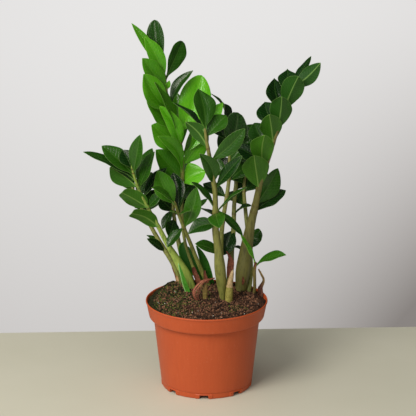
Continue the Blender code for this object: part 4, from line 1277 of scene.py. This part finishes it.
def leaf_material():
    """Waxy leaf skin: glossy dark green above, pale matt green beneath, midrib, veins and margin.

    Clouds of lighter green, a few millimetres wide, run along the blade, and no two leaflets
    have the same. A pale line along the margin is a painted highlight. Pores in the wax are far too
    fine to show, and are drawn about 1 mm apart.
    """
    material, tree, shader, place = new_material("waxy_leaf_skin")
    across, along, half, under, fresh, tone, share = (
        add(tree, ATTRIBUTE, {"attribute_name": name}, {}, "Fac")
        for name in ("across_mm", "along_mm", "half_mm", "under", "fresh", "tone", "length_share"))
    out = add(tree, MATH, ABSOLUTE, {0: across})

    # green by side and age, and clouds of a lighter green
    above = add(tree, MIX, COLOUR, {0: fresh, 6: linear("#082006"), 7: linear("#55b016")}, 2)
    beneath = add(tree, MIX, COLOUR, {0: fresh, 6: linear("#1c4c0a"), 7: linear("#569a1a")}, 2)
    base = add(tree, MIX, COLOUR, {0: under, 6: above, 7: beneath}, 2)
    grown = add(tree, "ShaderNodeCombineXYZ", {}, {0: across, 1: along, 2: tone})
    apart = (1 / CLOUD_ACROSS_MM, 1 / CLOUD_ALONG_MM, 40.0)
    grown = add(tree, MAPPING, {}, {"Vector": grown, "Scale": apart})
    cloud = add(tree, NOISE, {}, {"Vector": grown, "Scale": 1.0, "Detail": 4.0, "Roughness": 0.6})
    shade = add(tree, MATH, MULTIPLY_ADD, {0: tone, 1: 0.22, 2: cloud})
    cloudy = add(tree, RANGE, {}, {0: shade, 1: 0.42, 2: 0.82, 3: 0.0, 4: 0.6})
    lighter = add(tree, MIX, COLOUR, {0: fresh, 6: linear("#12420b"), 7: linear("#7cce2a")}, 2)
    base = add(tree, MIX, COLOUR, {0: cloudy, 6: base, 7: lighter}, 2)

    # veins that run out and forward from the midrib and fade before the margin
    forward = add(tree, MATH, MULTIPLY_ADD, {0: out, 1: -0.7, 2: along})
    wander = add(tree, NOISE, {}, {"Vector": place, "Scale": cells(VEIN_WANDER_MM), "Detail": 2.0})
    forward = add(tree, MATH, MULTIPLY_ADD, {0: wander, 1: 3.0, 2: forward})
    wave = add(tree, MATH, MULTIPLY, {0: forward, 1: 2 * math.pi / VEIN_MM})
    wave = add(tree, MATH, COSINE, {0: wave})
    vein = add(tree, RANGE, SOFT, {0: wave, 1: 0.80, 2: 1.0, 3: 0.0, 4: 1.0})
    edge = add(tree, MATH, SUBTRACT, {0: half, 1: out})
    inner = add(tree, RANGE, SOFT, {0: edge, 1: 0.4, 2: 3.0, 3: 0.0, 4: 0.10})
    vein = add(tree, MATH, MULTIPLY, {0: vein, 1: inner})
    pale = add(tree, MIX, COLOUR, {0: fresh, 6: linear("#5c8a45"), 7: linear("#a4cf63")}, 2)
    base = add(tree, MIX, COLOUR, {0: vein, 6: base, 7: pale}, 2)

    # the midrib, which narrows towards the tip and is paler beneath, and a painted highlight along the
    # margin
    rib_width = add(tree, RANGE, {}, {0: share, 1: 0.0, 2: 1.0, 3: 1.15, 4: 0.3})
    rib_width = add(tree, MATH, MULTIPLY_ADD, {0: under, 1: 0.35, 2: rib_width})
    rib = add(tree, MATH, DIVIDE, {0: out, 1: rib_width})
    rib = add(tree, RANGE, SOFT, {0: rib, 1: 0.45, 2: 1.0, 3: 1.0, 4: 0.0})
    strength = add(tree, RANGE, {}, {0: under, 1: 0.0, 2: 1.0, 3: 0.12, 4: 0.60})
    rib = add(tree, MATH, MULTIPLY, {0: rib, 1: strength})
    ribs = add(tree, MIX, COLOUR, {0: fresh, 6: linear("#7fa856"), 7: linear("#b4da6a")}, 2)
    base = add(tree, MIX, COLOUR, {0: rib, 6: base, 7: ribs}, 2)
    # painted highlight: the margin is paler within half a millimetre of the edge
    margin = add(tree, RANGE, SOFT, {0: edge, 1: 0.0, 2: 0.5, 3: 0.5, 4: 0.0})
    base = add(tree, MIX, COLOUR, {0: margin, 6: base, 7: ribs}, 2)

    # sunken veins, a slightly uneven skin, and wax that is smoother above
    pores = add(tree, NOISE, {}, {"Vector": place, "Scale": cells(PORE_MM), "Detail": 2.0})
    height = add(tree, MATH, MULTIPLY, {0: pores, 1: 0.12})
    height = add(tree, MATH, MULTIPLY_ADD, {0: vein, 1: -7.0, 2: height})
    height = add(tree, MATH, MULTIPLY_ADD, {0: cloud, 1: 4.0, 2: height})
    bump = add(tree, BUMP, {}, {"Strength": 0.5, "Distance": 0.0003, "Height": height})
    rough = add(tree, RANGE, {}, {0: under, 1: 0.0, 2: 1.0, 3: 0.14, 4: 0.46})
    rough = add(tree, MATH, MULTIPLY_ADD, {0: cloud, 1: 0.10, 2: rough})
    put(tree, shader, {"Base Color": base, "Normal": bump, "Roughness": rough,
                       "IOR": 1.45, "Specular IOR Level": 0.42})
    return material


leaf_finish = leaf_material()
print(leaf_finish.name, "has", len(leaf_finish.node_tree.nodes), "nodes")

# %% [markdown]
# ## Stems
#
# A stem is round, fleshy and slightly swollen where a leaflet leaves it, with a fine brown ring
# there. It is a tube along the path, and its radius carries the swellings. A bevelled curve could
# not swell at given places without a second curve for the radius.

# %% Stem skin
STEM_SIDES = 20
STEM_RINGS = 110
NODE_LENGTH = 0.0022
NODE_SWELLING = 0.09
RING_LENGTH = 0.0006
STEM_END = 0.003


def path_frame(path):
    """Two directions square to a path and to each other, which turn anticlockwise about it."""
    along = np.gradient(path, axis=0)
    along = along / np.linalg.norm(along, axis=1, keepdims=True)
    across = np.cross(np.array([0.0, 1.0, 0.0]), along)
    across = across / np.linalg.norm(across, axis=1, keepdims=True)
    return across, np.cross(along, across)


def tube_rings(middle, radius):
    """Rings round a path: at each even turn a, middle + radius (cos a across + sin a other)."""
    turn = np.linspace(0, 2 * math.pi, radius.shape[1], endpoint=False)[:, None]
    across, other = path_frame(middle)
    circle = np.cos(turn) * across[:, None] + np.sin(turn) * other[:, None]
    return middle[:, None] + circle * radius[..., None]


def stem_skin(points, node_rows, random):
    """A tube whose radius swells at each node, with a flat-sided, slightly ribbed section.

    The swelling is a bell of the distance to the nearest node, and the section at a turn a is
    1 + 0.02 cos(3 a + a random start) + 0.012 cos 7 a.
    """
    path = buried_path(points, STEM_BURIED, STEM_RINGS)
    arc = np.concatenate([[0.0], np.cumsum(np.linalg.norm(np.diff(path[:, :3], axis=0), axis=1))])
    nodes = np.interp(sorted(node_rows), path[::-1, 4], arc[::-1])
    far = np.abs(arc[:, None] - nodes).min(axis=1)
    swelling = np.exp(-(far / NODE_LENGTH)**2)
    ring = np.exp(-(far / RING_LENGTH)**2)
    radius = path[:, 3] * MM / 2 * (1 + NODE_SWELLING * swelling)
    radius = radius * np.sqrt(np.clip((arc[-1] - arc) / STEM_END, 0.02, 1))
    turn = np.linspace(0, 2 * math.pi, STEM_SIDES, endpoint=False)
    section = 1 + 0.02 * np.cos(3 * turn + random.uniform(0, 6)) + 0.012 * np.cos(7 * turn)
    return {"rings": tube_rings(path[:, :3], radius[:, None] * section),
            "node": ring[:, None], "height": (arc / arc[-1])[:, None]}


skin = stem_skin(FRONDS["frond_right"]["stem"], [100, 150, 200], np.random.default_rng(1))
print("a stem's rings:", skin["rings"].shape, "from", skin["rings"][..., 2].min().round(3), "m up")

# %% [markdown]
# ## Stem colour
#
# Stems are olive with dark mottles that are longer than wide, and brown where a leaflet's stalk
# has left its ring. Some stems are greener than others, and the same share also paints light on
# them: the stem on the left is lightest and those on the right darkest. That share is kept on each
# stem. The skin is smooth but has no wax, so its highlights are broad.

# %% Stem material
MOTTLE_MM = 2.381
MOTTLE_STRETCH = 0.22


def stem_material():
    """Fleshy stem skin: olive green with darker mottles, and brown rings at the nodes."""
    material, tree, shader, place = new_material("fleshy_stem_skin")
    node, height, green = (add(tree, ATTRIBUTE, {"attribute_name": name}, {}, "Fac")
                           for name in ("node", "height", "green"))
    # the green share makes a stem greener and also lighter: partly its own colour, partly painted light
    low = add(tree, MIX, COLOUR, {0: green, 6: linear("#6c6436"), 7: linear("#aec85c")}, 2)
    high = add(tree, MIX, COLOUR, {0: green, 6: linear("#7c733e"), 7: linear("#8ea448")}, 2)
    base = add(tree, MIX, COLOUR, {0: height, 6: low, 7: high}, 2)
    tall = add(tree, MAPPING, {}, {"Vector": place, "Scale": (1.0, 1.0, MOTTLE_STRETCH)})
    streak = add(tree, NOISE, {}, {"Vector": tall, "Scale": cells(MOTTLE_MM), "Detail": 4.0})
    mottle = add(tree, RANGE, SOFT, {0: streak, 1: 0.46, 2: 0.66, 3: 0.0, 4: 0.55})
    dark = add(tree, MIX, COLOUR, {0: green, 6: linear("#4c4624"), 7: linear("#4a682c")}, 2)
    base = add(tree, MIX, COLOUR, {0: mottle, 6: base, 7: dark}, 2)
    ring = add(tree, RANGE, {}, {0: node, 1: 0.1, 2: 0.9, 3: 0.0, 4: 0.85})
    base = add(tree, MIX, COLOUR, {0: ring, 6: base, 7: linear("#5a3f26")}, 2)
    bump = add(tree, BUMP, {}, {"Strength": 0.3, "Distance": 0.0004, "Height": streak})
    put(tree, shader, {"Base Color": base, "Normal": bump,
                       "Roughness": 0.48, "Specular IOR Level": 0.45})
    return material


stem_finish = stem_material()
print(stem_finish.name, "has", len(stem_finish.node_tree.nodes), "nodes")

# %% [markdown]
# ## Fronds
#
# The tall frond on the left is young and light green, and the others are dark. Leaflets whose own
# freshness couldn't be judged take their frond's, a little more or less. Each frond is two pieces,
# its leaflets and its stem, because they need different materials.

# %% Fronds
FRESHNESS = {"frond_tall_left": 0.75, "frond_left": 0.07, "frond_left_back": 0.08, "frond_back_left": 0.08,
             "frond_mid_left": 0.13, "frond_centre": 0.10, "frond_back_centre": 0.05, "frond_back": 0.03,
             "frond_right": 0.16, "frond_back_right": 0.08, "frond_low_right": 0.45}
FRESHNESS_VARIES = 0.07
# each stem's share of green, which also paints light on it: the left stem lightest, those on the right
# darkest
STEM_GREEN_AND_LIGHT = {"frond_centre": 0.22, "frond_right": 0.1, "frond_low_right": 0.0, "frond_left": 1.0}
OTHER_STEMS_GREEN_AND_LIGHT = 0.3
MORE_STATIONS = 5
for number, (name, frond) in enumerate(FRONDS.items()):
    random = np.random.default_rng(100 + number)
    path = buried_path(frond["stem"], STEM_BURIED, len(frond["stem"]) + MORE_STATIONS)
    skins = []
    for spec in frond["leaves"]:
        fresh = spec["fresh"]
        if fresh is None:
            fresh = FRESHNESS[name] + random.uniform(-FRESHNESS_VARIES, FRESHNESS_VARIES)
        skins.append(leaf_skin(path, spec, random, fresh))
    make_piece(f"{name}_leaves", skins, leaf_finish, [name])
    rows = [spec["root_row"] for spec in frond["leaves"]]
    stem = stem_skin(frond["stem"], rows, random)
    stem["green"] = STEM_GREEN_AND_LIGHT.get(name, OTHER_STEMS_GREEN_AND_LIGHT)
    make_piece(f"{name}_stem", [stem], stem_finish, [name])

# %% [markdown]
# ## Spears and sheaths
#
# A new frond comes up as a fat spear with a papery tip. Sheaths that wrapped earlier spears stay
# round the stems' feet, some green, some dry and torn. They are described as the stems are, by
# column, row, millimetres in front of the pot's axis and width in millimetres. A sheath also has
# its turn from the viewer, in degrees.

# %% Tables of spears and sheaths
SHOOTS = {
    "shoot_front": [(228.6, 302.0, 4, 10.5), (229.2, 293, 4, 10.6), (229.7, 286, 4, 8.8),
                    (230.9, 279, 4, 6.8), (232.2, 273, 4, 4.6), (232.8, 269.6, 4, 2.0)],
    "shoot_small": [(205.2, 299.5, -4, 6.2), (205.0, 294, -4, 6.6), (205.3, 289, -4, 6.0),
                    (206.0, 285, -4, 4.4), (206.5, 282.4, -4, 1.8)],
}
SHEATHS = {
    "sheath_left": dict(face=-24, points=[
        (188.4, 293.0, -27, 8.0), (185.3, 284, -26, 7.6), (182.2, 275, -25, 5.6), (179.9, 268, -25, 3.6),
        (178.4, 263.5, -25, 1.4)]),
    "sheath_back_left": dict(face=10, points=[
        (203.4, 283.5, -62, 11.0), (192.5, 266, -66, 18.0), (184.6, 252, -70, 18.5),
        (183.0, 246, -72, 12.0), (184.4, 241.5, -74, 2.0)]),
    "sheath_back_centre": dict(face=24, points=[
        (210.8, 287.0, -62, 8.0), (209.2, 278, -62, 10.0), (206.4, 270, -61, 12.0), (203.3, 262, -60, 12.5),
        (200.2, 254, -58, 9.0), (196.3, 246, -55, 2.0)]),
    "husk_right": dict(face=20, points=[
        (260.2, 294.0, -20, 7.4), (260.0, 288, -19, 7.2), (262.3, 283.5, -18, 4.8), (263.5, 280, -18, 3.4),
        (261.5, 275, -18, 3.2), (258.4, 269, -18, 1.8)]),
}
SLEEVES = {
    "back_foot": dict(face=0, points=[
        (229.6, 278, -51, 5.0), (229.9, 271, -52, 8.6), (230.8, 263, -53, 9.4), (230.4, 258.5, -54, 6.0),
        (228.4, 254.5, -55, 3.0), (226.2, 251, -56, 1.4)]),
    "left_back_edge": dict(face=-20, points=[
        (177.6, 281, -54, 4.0), (175.6, 274, -55, 3.8), (173.2, 267.5, -57, 3.2), (171.2, 262.5, -58, 2.4),
        (169.6, 259, -60, 1.2)]),
    "tall_left_foot": dict(face=10, points=[
        (199.0, 284, -47, 6.4), (196.4, 277, -48, 7.0), (194.2, 271, -50, 6.0), (193.3, 267, -51, 4.0)]),
    "mid_left_foot": dict(face=10, points=[
        (206.4, 283, -45, 5.6), (205.4, 277.5, -45, 5.0), (204.6, 273.5, -45, 3.4),
        (204.9, 270.5, -46, 1.4)]),
    "right_scar": dict(face=0, points=[
        (242.6, 285, -32, 0.9), (243.2, 281, -31.6, 3.6), (242.9, 276.5, -32, 1.0)]),
    "right_foot": dict(face=0, points=[
        (255.0, 270, -24.5, 2.6), (255.2, 266, -23.6, 3.4), (255.0, 262, -23, 1.6)]),
}
CREAM_SLEEVE = [(177.4, 281.6, -52, 4.0), (176.9, 278.6, -52, 4.0), (176.5, 275.8, -53, 2.4)]
FAN_OUTER = [(196.0, 301.5, 1), (193.3, 297, 3), (192.4, 292, 4), (194.0, 288, 4), (198.0, 283.6, 2),
             (202.0, 280.3, -1), (206.0, 279.0, -4), (210.0, 278.6, -7), (214.4, 277.6, -10)]
FAN_INNER = [(200.0, 300.5, 4), (198.4, 297.5, 6), (199.2, 293.5, 7), (200.6, 289.5, 6), (203.0, 284.8, 3),
             (205.0, 282.6, 1), (207.0, 281.4, -2), (210.4, 280.0, -6), (214.8, 278.6, -10)]
print(len(SHOOTS), "spears,", len(SHEATHS), "sheaths and", len(SLEEVES) + 1, "dry sleeves")

# %% [markdown]
# ## Fibrous skin
#
# Spears and sheaths have fibres along their length, which show as fine light and dark lines, and
# they dry from the tip down. One material function makes all of them, with other colours for each.
# Fibres in such a skin are finer than a millimetre, and are drawn 0.9 mm apart so that they show.

# %% Fibrous skin
FIBRE_MM = 0.9
SPECK_MM = 2.857


def fibre_material(name, dark, light, tip, roughness, dry_from=0.55, dry_to=0.95, rim=None):
    """Plant skin with fibres that run its length, a dry tip that is specked, and a paler rim.

    The lines are sin(2 pi distance / spacing + 5 noise), and the noise also makes the specks.
    """
    material, tree, shader, place = new_material(name)
    along, fibre = (add(tree, ATTRIBUTE, {"attribute_name": key}, {}, "Fac")
                    for key in ("length_share", "fibre"))
    rough_noise = add(tree, NOISE, {}, {"Vector": place, "Scale": cells(SPECK_MM), "Detail": 4.0})
    line = add(tree, MATH, MULTIPLY, {0: fibre, 1: 2 * math.pi / FIBRE_MM})
    line = add(tree, MATH, MULTIPLY_ADD, {0: rough_noise, 1: 5.0, 2: line})
    line = add(tree, MATH, SINE, {0: line})
    share = add(tree, MATH, MULTIPLY_ADD, {0: line, 1: 0.22, 2: rough_noise})
    share = add(tree, RANGE, {}, {0: share, 1: 0.2, 2: 0.8, 3: 0.0, 4: 1.0})
    base = add(tree, MIX, COLOUR, {0: share, 6: linear(dark), 7: linear(light)}, 2)
    dry = add(tree, RANGE, SOFT, {0: along, 1: dry_from, 2: dry_to, 3: 0.0, 4: 0.9})
    speck = add(tree, RANGE, {}, {0: rough_noise, 1: 0.35, 2: 0.75, 3: 0.0, 4: 0.8})
    papery = add(tree, MIX, COLOUR, {0: speck, 6: linear(tip), 7: linear(dark)}, 2)
    base = add(tree, MIX, COLOUR, {0: dry, 6: base, 7: papery}, 2)
    if rim:
        edge = add(tree, ATTRIBUTE, {"attribute_name": "rim"}, {}, "Fac")
        base = add(tree, MIX, COLOUR, {0: edge, 6: base, 7: linear(rim)}, 2)
    height = add(tree, MATH, MULTIPLY_ADD, {0: line, 1: 0.4, 2: rough_noise})
    bump = add(tree, BUMP, {}, {"Strength": 0.5, "Distance": 0.0004, "Height": height})
    put(tree, shader, {"Base Color": base, "Normal": bump, "Roughness": roughness})
    return material


SPEAR_PAPER = 0.57
spear_finish = fibre_material("spear_skin", "#6d6424", "#aeab58", "#c9ab84", 0.5,
                              SPEAR_PAPER - 0.01, SPEAR_PAPER + 0.01)
small_spear_finish = fibre_material("small_spear_skin", "#6a4f22", "#b0a25c", "#8a6a3a", 0.5)
print(spear_finish.name, "has", len(spear_finish.node_tree.nodes), "nodes")

# %% [markdown]
# ## Spears
#
# A spear is a frond still rolled up: round, thick and pointed. It is a tube as a stem is, with a
# ridge and fine wrinkles where the papery part starts.

# %% Spears
SHEATH_BURIED = 0.011
SPEAR_SIDES = 22
SPEAR_RINGS = 60
SPEAR_END = 0.04
RIDGE = 0.10
RIDGE_LENGTH = 0.012
WRINKLE = 0.05


def spear_skin(points):
    """A tube through the spear's points, with a ridge where the papery part starts, and wrinkles.

    The ridge is a bell along the spear, and the wrinkles are cos(9 a + 2) at a turn a.
    """
    path = buried_path(points, SHEATH_BURIED, SPEAR_RINGS)
    share = np.linspace(0, 1, SPEAR_RINGS)
    turn = np.linspace(0, 2 * math.pi, SPEAR_SIDES, endpoint=False)
    wrinkle = 1 + WRINKLE * np.cos(9 * turn + 2.0) * slope_step(share, 0.55, 0.75)[:, None]
    radius = path[:, 3] * MM / 2 * np.sqrt(np.clip((1 - share) / SPEAR_END, 0.03, 1))
    radius = radius * (1 + RIDGE * np.exp(-((share - SPEAR_PAPER) / RIDGE_LENGTH)**2))
    rings = tube_rings(path[:, :3], radius[:, None] * wrinkle)
    return {"rings": rings, "length_share": share[:, None], "fibre": (turn * 3.0)[None]}


SPEAR_SKINS = {"shoot_front": spear_finish, "shoot_small": small_spear_finish}
for name, points in SHOOTS.items():
    make_piece(f"{name}_spear", [spear_skin(points)], SPEAR_SKINS[name], [name])

# %% [markdown]
# ## Green and dry sheaths
#
# A sheath is a narrow leathery blade, cupped towards the stem that it wrapped. It has no midrib,
# so a curve of u^2 across is enough. Dry ones are ragged at the edges and curl unevenly, and green
# ones have a pale rim about 1 mm wide.

# %% A sheath's surface
SHEATH_THICKNESS = 0.0009
SHEATH_CUP = 0.42
SHEATH_COLUMNS = 15
SHEATH_RINGS = 46
TEARS = 46
TEAR_SPACING = 2.2
RIM_MM = 1.5
RIM_FULL_MM = 0.7
HUSK_RAGGED = 0.1


def sight_path(points, count):
    """A path with columns x, y, z and width in mm through places seen in the picture."""
    return smooth_path([(*sight(c, r, near), size) for c, r, near, size in points], count)


def blade_skin(path, face, random, ragged):
    """A cupped blade along its path, as ragged as given.

    At u across and a share s along, it rises by cup u^2 plus a quarter of ragged times
    sin(3 pi u + 9 s), in half widths. Noise along each edge makes it narrower and wider.
    """
    middle = path[:, :3]
    count = len(middle)
    along = np.gradient(middle, axis=0)
    along = along / np.linalg.norm(along, axis=1, keepdims=True)
    view = (EYE - middle) / np.linalg.norm(EYE - middle, axis=1, keepdims=True)
    plain = view - along * (view * along).sum(axis=1, keepdims=True)
    plain = plain / np.linalg.norm(plain, axis=1, keepdims=True)
    turn = math.radians(face)
    upper = math.cos(turn) * plain + math.sin(turn) * np.cross(along, plain)
    across = np.cross(along, upper)
    u = np.sin(np.linspace(-math.pi / 2, math.pi / 2, SHEATH_COLUMNS))
    share = np.linspace(0, 1, count)[:, None]
    edge = np.sign(u)[None] * 7 + 0 * share
    torn = 1 + ragged * lattice_noise(share * TEARS, edge, TEAR_SPACING, int(random.integers(999)))
    wide = path[:, 3:4] * MM / 2 * torn
    rise = wide * (SHEATH_CUP * u**2 + ragged * 0.25 * np.sin(3 * np.pi * u + 9 * share))
    top = middle[:, None] + across[:, None] * (wide * u)[..., None] + upper[:, None] * rise[..., None]
    thick = SHEATH_THICKNESS * (0.45 + 0.55 * np.sqrt(1 - u**2)) * (1 - 0.5 * share)
    rings = there_and_back(top, top - upper[:, None] * thick[..., None])
    out_mm = wide * u / MM
    rim = slope_step(-out_mm, wide / MM - RIM_MM, wide / MM - RIM_FULL_MM)
    return {"rings": rings, "length_share": share, "fibre": there_and_back(out_mm, out_mm),
            "rim": there_and_back(rim, rim)}


skin = blade_skin(sight_path(SLEEVES["back_foot"]["points"], 30), 0, np.random.default_rng(1), 0.1)
print("a sheath's rings:", skin["rings"].shape)

# %% [markdown]
# ## Four sheaths
#
# Young sheaths are green with a pale rim, and the wax left on them gives a soft gloss. The two at
# the back stand in shade and look darker. The dry one is matt brown paper, and straw coloured
# where it has bleached towards its tip.

# %% Sheaths
green_sheath = fibre_material("green_sheath_skin", "#2f7a1c", "#5ea838", "#3f8a2a", 0.4, rim="#a4d686")
dark_sheath = fibre_material("shaded_sheath_skin", "#1f5a12", "#3c8420", "#2a6a1a", 0.45, rim="#6cc028")
dry_sheath = fibre_material("dry_sheath_skin", "#24160f", "#7c4a36", "#8a7444", 0.8, 0.45, 0.62)
SHEATH_SKINS = {"sheath_left": green_sheath, "sheath_back_left": dark_sheath,
                "sheath_back_centre": dark_sheath, "husk_right": dry_sheath}
for number, (name, sheath) in enumerate(SHEATHS.items()):
    random = np.random.default_rng(300 + number)
    kind = "husk" if name.startswith("husk") else "sheath"
    blade_path = buried_path(sheath["points"], SHEATH_BURIED, SHEATH_RINGS)
    skin = blade_skin(blade_path, sheath["face"], random, HUSK_RAGGED * (kind == "husk"))
    make_piece(f"{name}_skin", [skin], SHEATH_SKINS[name], [name])

# %% [markdown]
# ## Dry sleeves
#
# Sheaths that wrapped the stems dry to red-brown paper and cling to the stems' feet as small torn
# scraps. They are blades as the sheaths are, but ragged, and held close in front of the stem. One
# at the left has bleached to cream.

# %% Dry sleeves
SLEEVE_RINGS = 30
CREAM_RINGS = 20
SLEEVE_RAGGED = 0.12
random = np.random.default_rng(320)
skins = [blade_skin(sight_path(sleeve["points"], SLEEVE_RINGS), sleeve["face"], random, SLEEVE_RAGGED)
         for sleeve in SLEEVES.values()]
red_brown = fibre_material("dry_sleeve_skin", "#3c1d12", "#9c5a3e", "#6a2e1c", 0.75)
make_piece("dry_sleeves", skins, red_brown)
cream = fibre_material("bleached_sleeve_skin", "#a98458", "#e6c497", "#8a5030", 0.75)
skin = blade_skin(sight_path(CREAM_SLEEVE, CREAM_RINGS), 0, random, HUSK_RAGGED)
make_piece("cream_sleeve", [skin], cream)

# %% [markdown]
# ## Netted husk
#
# The sheath at the front has rotted to its veins: a fan of thin strands that meet at a curled tip,
# with a narrow band of skin left along its outer edge. A picture with holes would look flat from
# the side, so each strand is a thin tube between the fan's two edges.

# %% Netted husk
FAN_STRANDS = 9
FAN_RINGS = 60
FAN_BULGE = 0.003
STRAND_RADIUS = 0.00042
STRAND_SIDES = 6
STRAND_WANDER = 0.55
BAND_SHARE = 0.22
BAND_THICKNESS = 0.0004


def fan_skins(random):
    """A band and strands between the fan's two edges.

    Strand k of n runs at the share w = (k + wander sin(phase + 3 pi s)) / (n - 1) from the outer
    edge to the inner one, at a share s of its length. The fan bulges forward by
    sin(pi w) sin(pi s) times its bulge.
    """
    outer = smooth_path([sight(*place) for place in FAN_OUTER], FAN_RINGS)
    inner = smooth_path([sight(*place) for place in FAN_INNER], FAN_RINGS)
    s = np.linspace(0, 1, FAN_RINGS)[:, None]
    forward = np.array([0.0, -1.0, 0.0])

    def at(w):
        flat = outer[:, None] * (1 - w)[..., None] + inner[:, None] * w[..., None]
        bulge = FAN_BULGE * np.sin(np.pi * w) * np.sin(np.pi * s)
        return flat + forward * bulge[..., None]

    skins = []
    for k in range(FAN_STRANDS):
        wander = STRAND_WANDER * np.sin(random.uniform(0, 6) + 3 * np.pi * s)
        middle = at(np.clip((k + wander) / (FAN_STRANDS - 1), 0, 1))[:, 0]
        radius = STRAND_RADIUS * (1 + 0.3 * np.sin(random.uniform(0, 6) + 9 * s)) * (1 - 0.3 * s)
        rings = tube_rings(middle, radius + np.zeros((FAN_RINGS, STRAND_SIDES)))
        skins.append({"rings": rings, "length_share": s, "fibre": random.uniform(0, 9)})
    w = np.linspace(0, BAND_SHARE, 5)[None] + 0 * s
    top = at(w)
    rings = there_and_back(top, top - forward * BAND_THICKNESS)
    return skins + [{"rings": rings, "length_share": s, "fibre": there_and_back(w, w) * 12}]


veins = fibre_material("rotted_sheath_veins", "#5a2c1c", "#c87e62", "#8f5040", 0.75)
make_piece("husk_front_net", fan_skins(np.random.default_rng(330)), veins, ["husk_front"])

# %% [markdown]
# ## Sizes
#
# The dressed plant keeps the imported model's size. The sizes of both boxes are printed for comparison.

# %% Print the sizes
visual_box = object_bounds()
boxes = {"cad": [list(map(float, corner)) for corner in cad_box],
         "visual": [list(map(float, corner)) for corner in visual_box]}
for key, (low, high) in boxes.items():
    print(key, [round(b - a, 4) for a, b in zip(low, high)])
